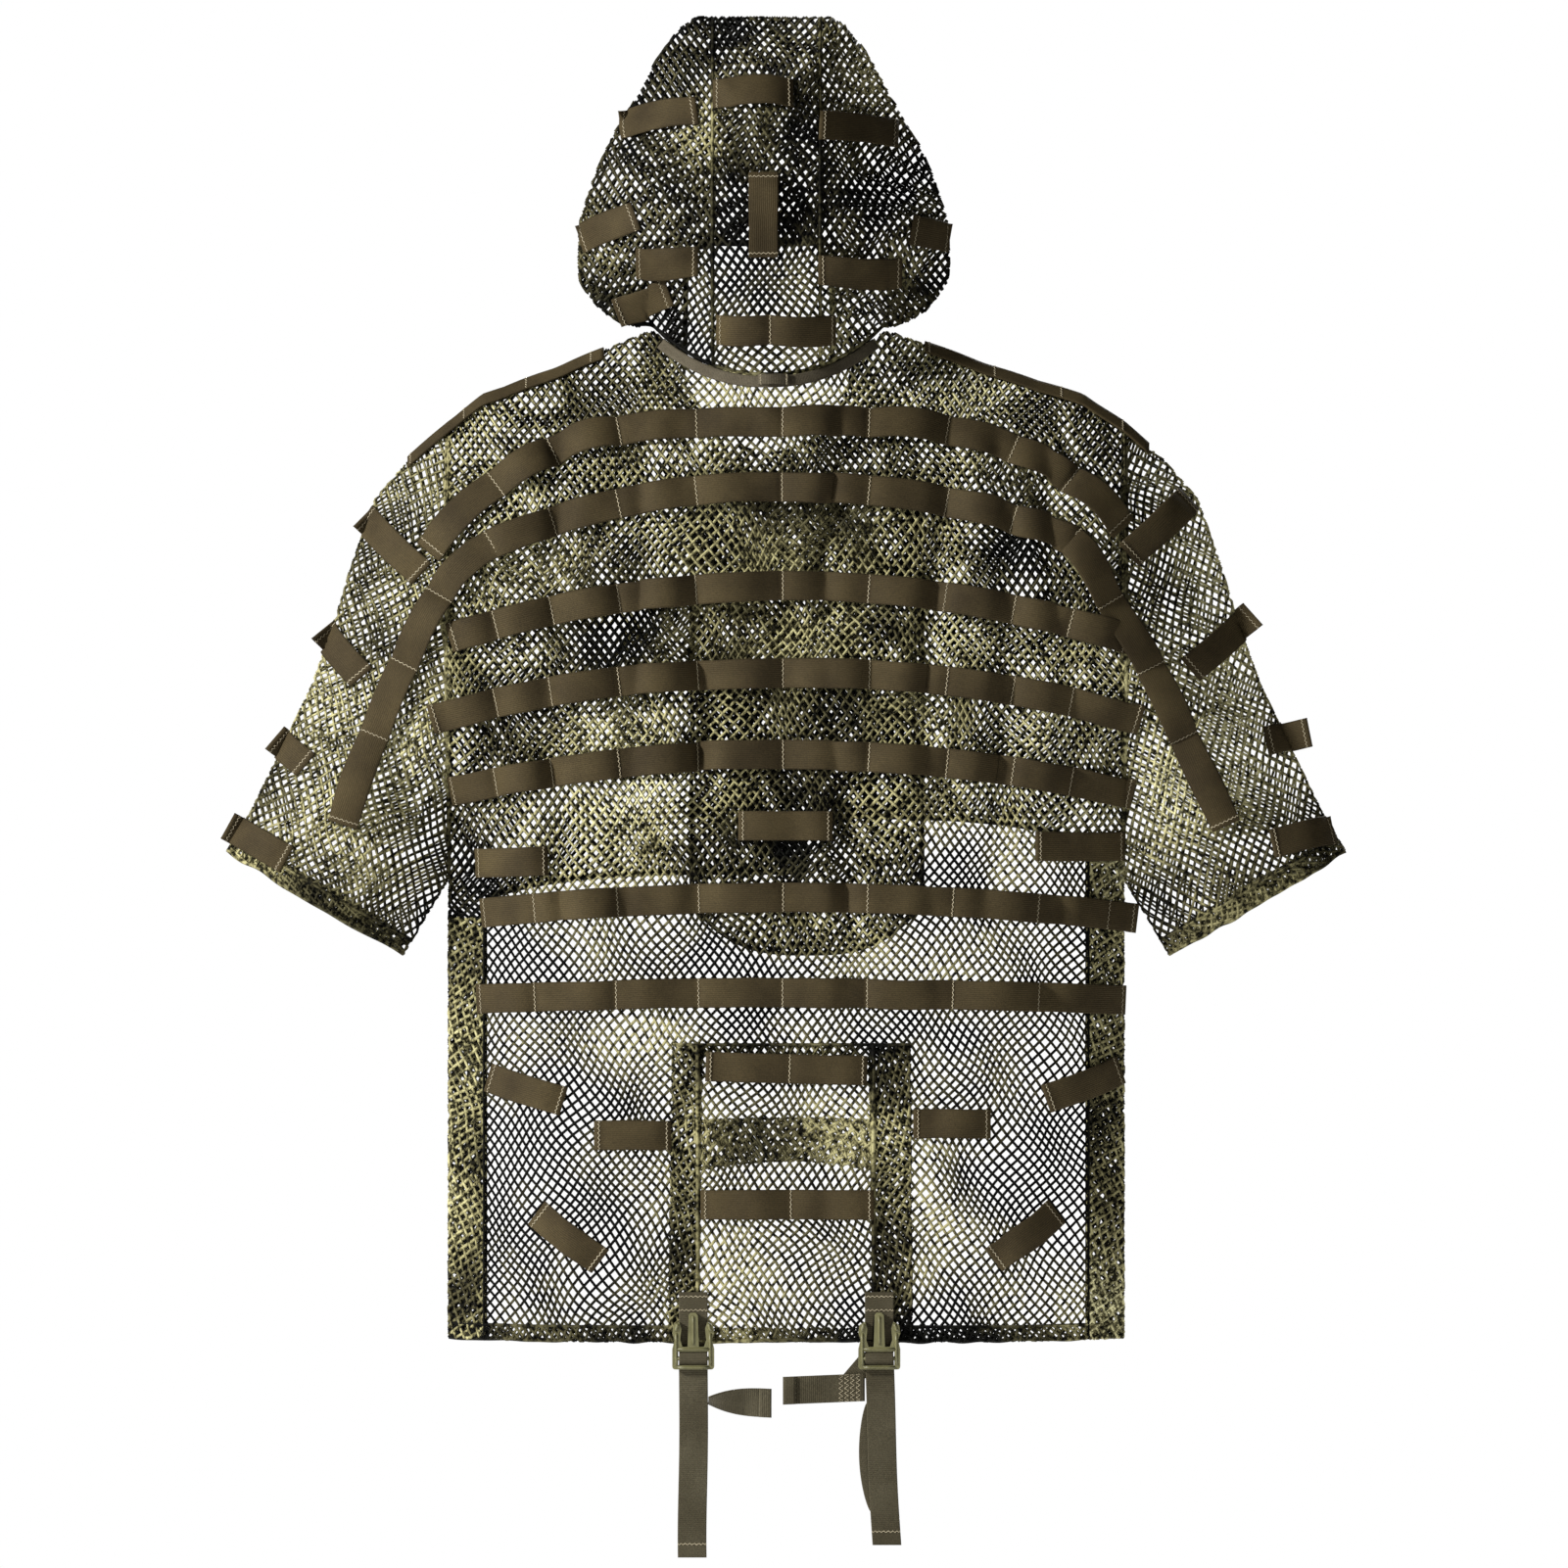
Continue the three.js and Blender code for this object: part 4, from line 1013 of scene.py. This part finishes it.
def neck():
    x = np.linspace(NECK_X - 0.92 * NECK_HALF, NECK_X + 0.92 * NECK_HALF, 50)
    path = np.stack([x, back_top(x) - 0.006], -1)
    pile = Pile()
    webbing(pile, path, [], width=0.009, thickness=0.001, bulge=0.0, lift=0.0032)
    sewn(pile, "neck_binding", "root", "neck_tape", TAPE)
    pile = Pile()
    webbing(pile, straight((NECK_X + 0.005, -0.004), 0, 0.028), [0.003, 0.025],
            width=0.008, thickness=0.0012, bulge=0.004, lift=0.0048)
    sewn(pile, "hanger_loop", "root", "hang_loop", TAPE)


# ---- buckles and straps ----
WEB_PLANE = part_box("strap_left")[1][1]  # the side of the strap that faces the garment


def flat_band(pile, centre, widths, y, width_dir=(-1, 0), twist=None):
    """Webbing down or across a run of (x, z) centres, flat in y unless it is twisted."""
    centre = np.asarray(centre, float)
    twist = np.zeros(len(centre)) if twist is None else np.asarray(twist)
    wx, wz = width_dir
    offset = ACROSS[None] * np.asarray(widths, float)[:, None]
    x = centre[:, :1] + wx * offset * np.cos(twist)[:, None]
    z = centre[:, 1:] + wz * offset * np.cos(twist)[:, None]
    depth = np.asarray(y)[:, None] + offset * np.sin(twist)[:, None]
    return thick_sheet(pile, np.stack([x, depth, z], -1), WEB_THICK)


def strap(word, lean):
    low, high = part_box(f"strap_{word}")
    top = (low[0] + high[0] - lean) / 2
    z = np.linspace(high[2], low[2], 60)
    share = (high[2] - z) / (high[2] - low[2])
    sway = 0.0012 * np.sin(share * 5.0 + (0.4 if word == "left" else 2.0))
    x = top + lean * share + sway * share
    y = WEB_PLANE - 0.0002 - 0.004 * np.sin(share * 3.0) * share
    pile = Pile()
    outer, face = flat_band(pile, np.stack([x, z], -1), np.full(60, WEB), y)
    s = high[2] - z
    tip = float(s[-1])
    zigzag(pile, s, outer, face, tip - 0.012)
    fold = slice(50, 60)
    flat_band(pile, np.stack([x, z], -1)[fold], np.full(10, WEB * 0.98),
              y[fold] + 0.0016)
    if word == "right":
        run = slice(14, 50)
        shift = 0.009 * np.sin(np.linspace(0, math.pi, 36)) ** 0.6
        second = np.stack([x[run] - shift, z[run]], -1)
        flat_band(pile, second, np.full(36, WEB * 0.9), y[run] + 0.0020)
    sewn(pile, f"strap_{word}_web", f"strap_{word}_body", f"strap_{word}", STRAP)


def tab_left():
    low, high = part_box("strap_tab_left")
    x = np.linspace(low[0], high[0], 26)
    share = (x - low[0]) / (high[0] - low[0])
    z = -0.904 - 0.003 * share
    twist = np.radians(74) * (1 - share) ** 1.6
    pile = Pile()
    centre = np.stack([x, z], -1)
    outer, face = flat_band(pile, centre, np.full(26, WEB), np.full(26, WEB_PLANE - 0.001),
                            width_dir=(0, -1), twist=twist)
    flat_band(pile, centre[20:], np.full(6, WEB), np.full(6, WEB_PLANE - 0.0028),
              width_dir=(0, -1))
    zigzag(pile, x - low[0], outer, face, high[0] - low[0] - 0.010)
    sewn(pile, "tab_left_web", "strap_left_body", "strap_tab_left", STRAP)


def tab_right():
    low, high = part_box("strap_tab_right")
    x = np.linspace(low[0], high[0], 26)
    z = np.full(26, -0.896) + 0.003 * (x - low[0]) / (high[0] - low[0])
    pile = Pile()
    centre = np.stack([x, z], -1)
    outer, face = flat_band(pile, centre, np.full(26, WEB * 0.96), np.full(26, WEB_PLANE - 0.0005),
                            width_dir=(0, -1))
    flat_band(pile, centre[:5], np.full(5, WEB * 0.96), np.full(5, WEB_PLANE - 0.0023),
              width_dir=(0, -1))
    length = high[0] - low[0]
    for mark in (0.010, length - 0.021, length - 0.016, length - 0.011, length - 0.006):
        zigzag(pile, x - low[0], outer, face, mark, rows=15, reach=0.0018)
    rise = np.linspace(0, 1, 8)
    slant = np.stack([0.052 + 0.022 * rise, -0.893 + 0.026 * rise], -1)
    flat_band(pile, slant, np.full(8, 0.020), np.full(8, WEB_PLANE + 0.0012),
              width_dir=(0.6, -0.6))
    sewn(pile, "tab_right_web", "strap_right_body", "strap_tab_right", STRAP)


def anchor(word):
    low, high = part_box(f"buckle_anchor_{word}")
    z = np.linspace(high[2], low[2], 16)
    x = np.full(16, (low[0] + high[0]) / 2)
    pile = Pile()
    outer, face = flat_band(pile, np.stack([x, z], -1), np.full(16, WEB), np.full(16, high[1]))
    for mark in (0.004, 0.016):
        zigzag(pile, high[2] - z, outer, face, mark)
    sewn(pile, f"anchor_{word}", "root", f"buckle_anchor_{word}", STRAP)


def part_of_buckle(obj, word):
    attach(obj, f"buckle_{word}_body")


def threaded(word):
    """The turn of webbing that passes over the buckle's middle bar."""
    low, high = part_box(f"buckle_{word}")
    middle = (low[0] + high[0]) / 2
    z = np.linspace(low[2] + 0.0186, low[2] + 0.0010, 24)
    share = np.linspace(0, 1, 24)
    y = (low[1] + high[1]) / 2 + 0.0022 - 0.0048 * np.sin(share * math.pi) ** 2
    pile = Pile()
    flat_band(pile, np.stack([np.full(24, middle), z], -1), np.full(24, WEB * 0.98), y)
    obj = pile.build(f"threaded_{word}", [STRAP])
    part_of_buckle(obj, word)


def buckle(word):
    """The plug half of a side-release buckle, with rounded edges, a ribbed post and bars."""
    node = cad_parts[f"buckle_{word}"]
    low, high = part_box(f"buckle_{word}")
    mesh = node.data.copy()
    obj = bpy.data.objects.new(f"plug_{word}", mesh)
    bpy.context.scene.collection.objects.link(obj)
    mesh.materials.clear()
    mesh.materials.append(PLASTIC)
    weld = obj.modifiers.new("weld", "WELD")
    weld.merge_threshold = 0.00002
    bevel = obj.modifiers.new("bevel", "BEVEL")
    bevel.width = 0.0009
    bevel.segments = 3
    bevel.limit_method = "ANGLE"
    declare(obj, f"buckle_{word}_body", f"buckle_{word}")
    middle = (low[0] + high[0]) / 2
    pile = Pile()
    face = low[1]
    normal = np.array([0, -1.0, 0])

    def rod(a, b, wide, thick):
        points = np.linspace(a, b, 5)
        tube(pile, points, np.repeat(normal[None], 5, 0), wide, thick)

    rod((middle, face, low[2] + 0.022), (middle, face, high[2] - 0.003), 0.0024, 0.0022)
    for side in (-1, 1):
        x = middle + side * 0.0150
        rod((x, face, low[2] + 0.004), (x, face, low[2] + 0.032), 0.0026, 0.0022)
        x = middle + side * 0.0155
        rod((x, face, high[2] - 0.016), (x - side * 0.002, face, high[2] - 0.010), 0.0034, 0.0030)
    for up in (0.0018, 0.0097, 0.0180):
        z = low[2] + up
        rod((middle - 0.014, face, z), (middle + 0.014, face, z), 0.0026, 0.0026)
    ribs = pile.build(f"plug_{word}_ribs", [PLASTIC])
    part_of_buckle(ribs, word)


# ---- camera, lights and floor ----
def studio():
    camera = bpy.data.cameras.new("camera")
    camera.sensor_width = 36
    view_width = 1.3945
    distance = 9.0
    camera.lens = camera.sensor_width * distance / view_width
    eye = bpy.data.objects.new("camera", camera)
    eye.location = (-0.002, -distance, -0.361)
    eye.rotation_euler = (math.radians(90), 0, 0)
    bpy.context.scene.collection.objects.link(eye)
    bpy.context.scene.camera = eye

    world = bpy.data.worlds.new("studio")
    world.use_nodes = True
    sky = world.node_tree.nodes["Background"]
    sky.inputs["Color"].default_value = (1, 1, 1, 1)
    seen = world.node_tree.nodes.new("ShaderNodeLightPath")
    level = world.node_tree.nodes.new("ShaderNodeMapRange")
    level.inputs["To Min"].default_value = 0.13
    level.inputs["To Max"].default_value = 1.0
    world.node_tree.links.new(seen.outputs["Is Camera Ray"], level.inputs["Value"])
    world.node_tree.links.new(level.outputs["Result"], sky.inputs["Strength"])
    bpy.context.scene.world = world
    bpy.context.scene.view_settings.view_transform = "Standard"

    for name, place_at, size, watts in (
        ("key", (-4.0, -2.0, 1.5), 0.5, 520), ("fill", (2.6, -3.4, 0.2), 2.0, 14),
        ("back", (0.8, 3.0, 1.6), 1.6, 190),
    ):
        lamp = bpy.data.lights.new(name, "AREA")
        lamp.size = size
        lamp.energy = watts
        lamp_object = bpy.data.objects.new(name, lamp)
        lamp_object.location = place_at
        aim = Vector((0, 0, -0.35)) - Vector(place_at)
        lamp_object.rotation_euler = aim.to_track_quat("-Z", "Y").to_euler()
        bpy.context.scene.collection.objects.link(lamp_object)

    floor_z = -1.10
    wide, near, far = 1.9, -2.3, 0.45
    verts = [(x, y, floor_z) for x, y in ((-wide, near), (wide, near), (wide, far), (-wide, far))]

    def floor_nodes(nodes, links, shader):
        where = nodes.new("ShaderNodeTexCoord").outputs["Object"]
        cloud = noise(nodes, links, where, 3.0, 2.0)
        tone = ramp(nodes, links, cloud, [(0.3, (0.86, 0.86, 0.86)), (0.7, (0.90, 0.90, 0.90))])
        links.new(tone, shader.inputs["Base Color"])
        shader.inputs["Roughness"].default_value = 0.8
        shader.inputs["Emission Color"].default_value = (1, 1, 1, 1)
        shader.inputs["Emission Strength"].default_value = 0.45

    floor = make_object("floor", np.array(verts), np.array([[0, 1, 2, 3]]),
                        [material("floor_white", floor_nodes)], smooth=False)


studio()
back_panel()
front("left", -1, YOKE_LEFT_Z)
front("right", 1, YOKE_RIGHT_Z)
chest_flap()
tail_flap()
sleeve("left", -1)
sleeve("right", 1)
hood_side("left", -1, SEAM_LEFT, FACE_LEFT)
hood_side("right", 1, SEAM_RIGHT, FACE_RIGHT)
hood_center()
neck()
rows()
loops()
sleeve_webs()
shoulder_web("left", -1, 0.162, 0.336)
shoulder_web("right", 1, 0.123, 0.322)
strap("left", 0.0)
strap("right", 0.006)
tab_left()
tab_right()
for word in ("left", "right"):
    anchor(word)
    threaded(word)
    buckle(word)
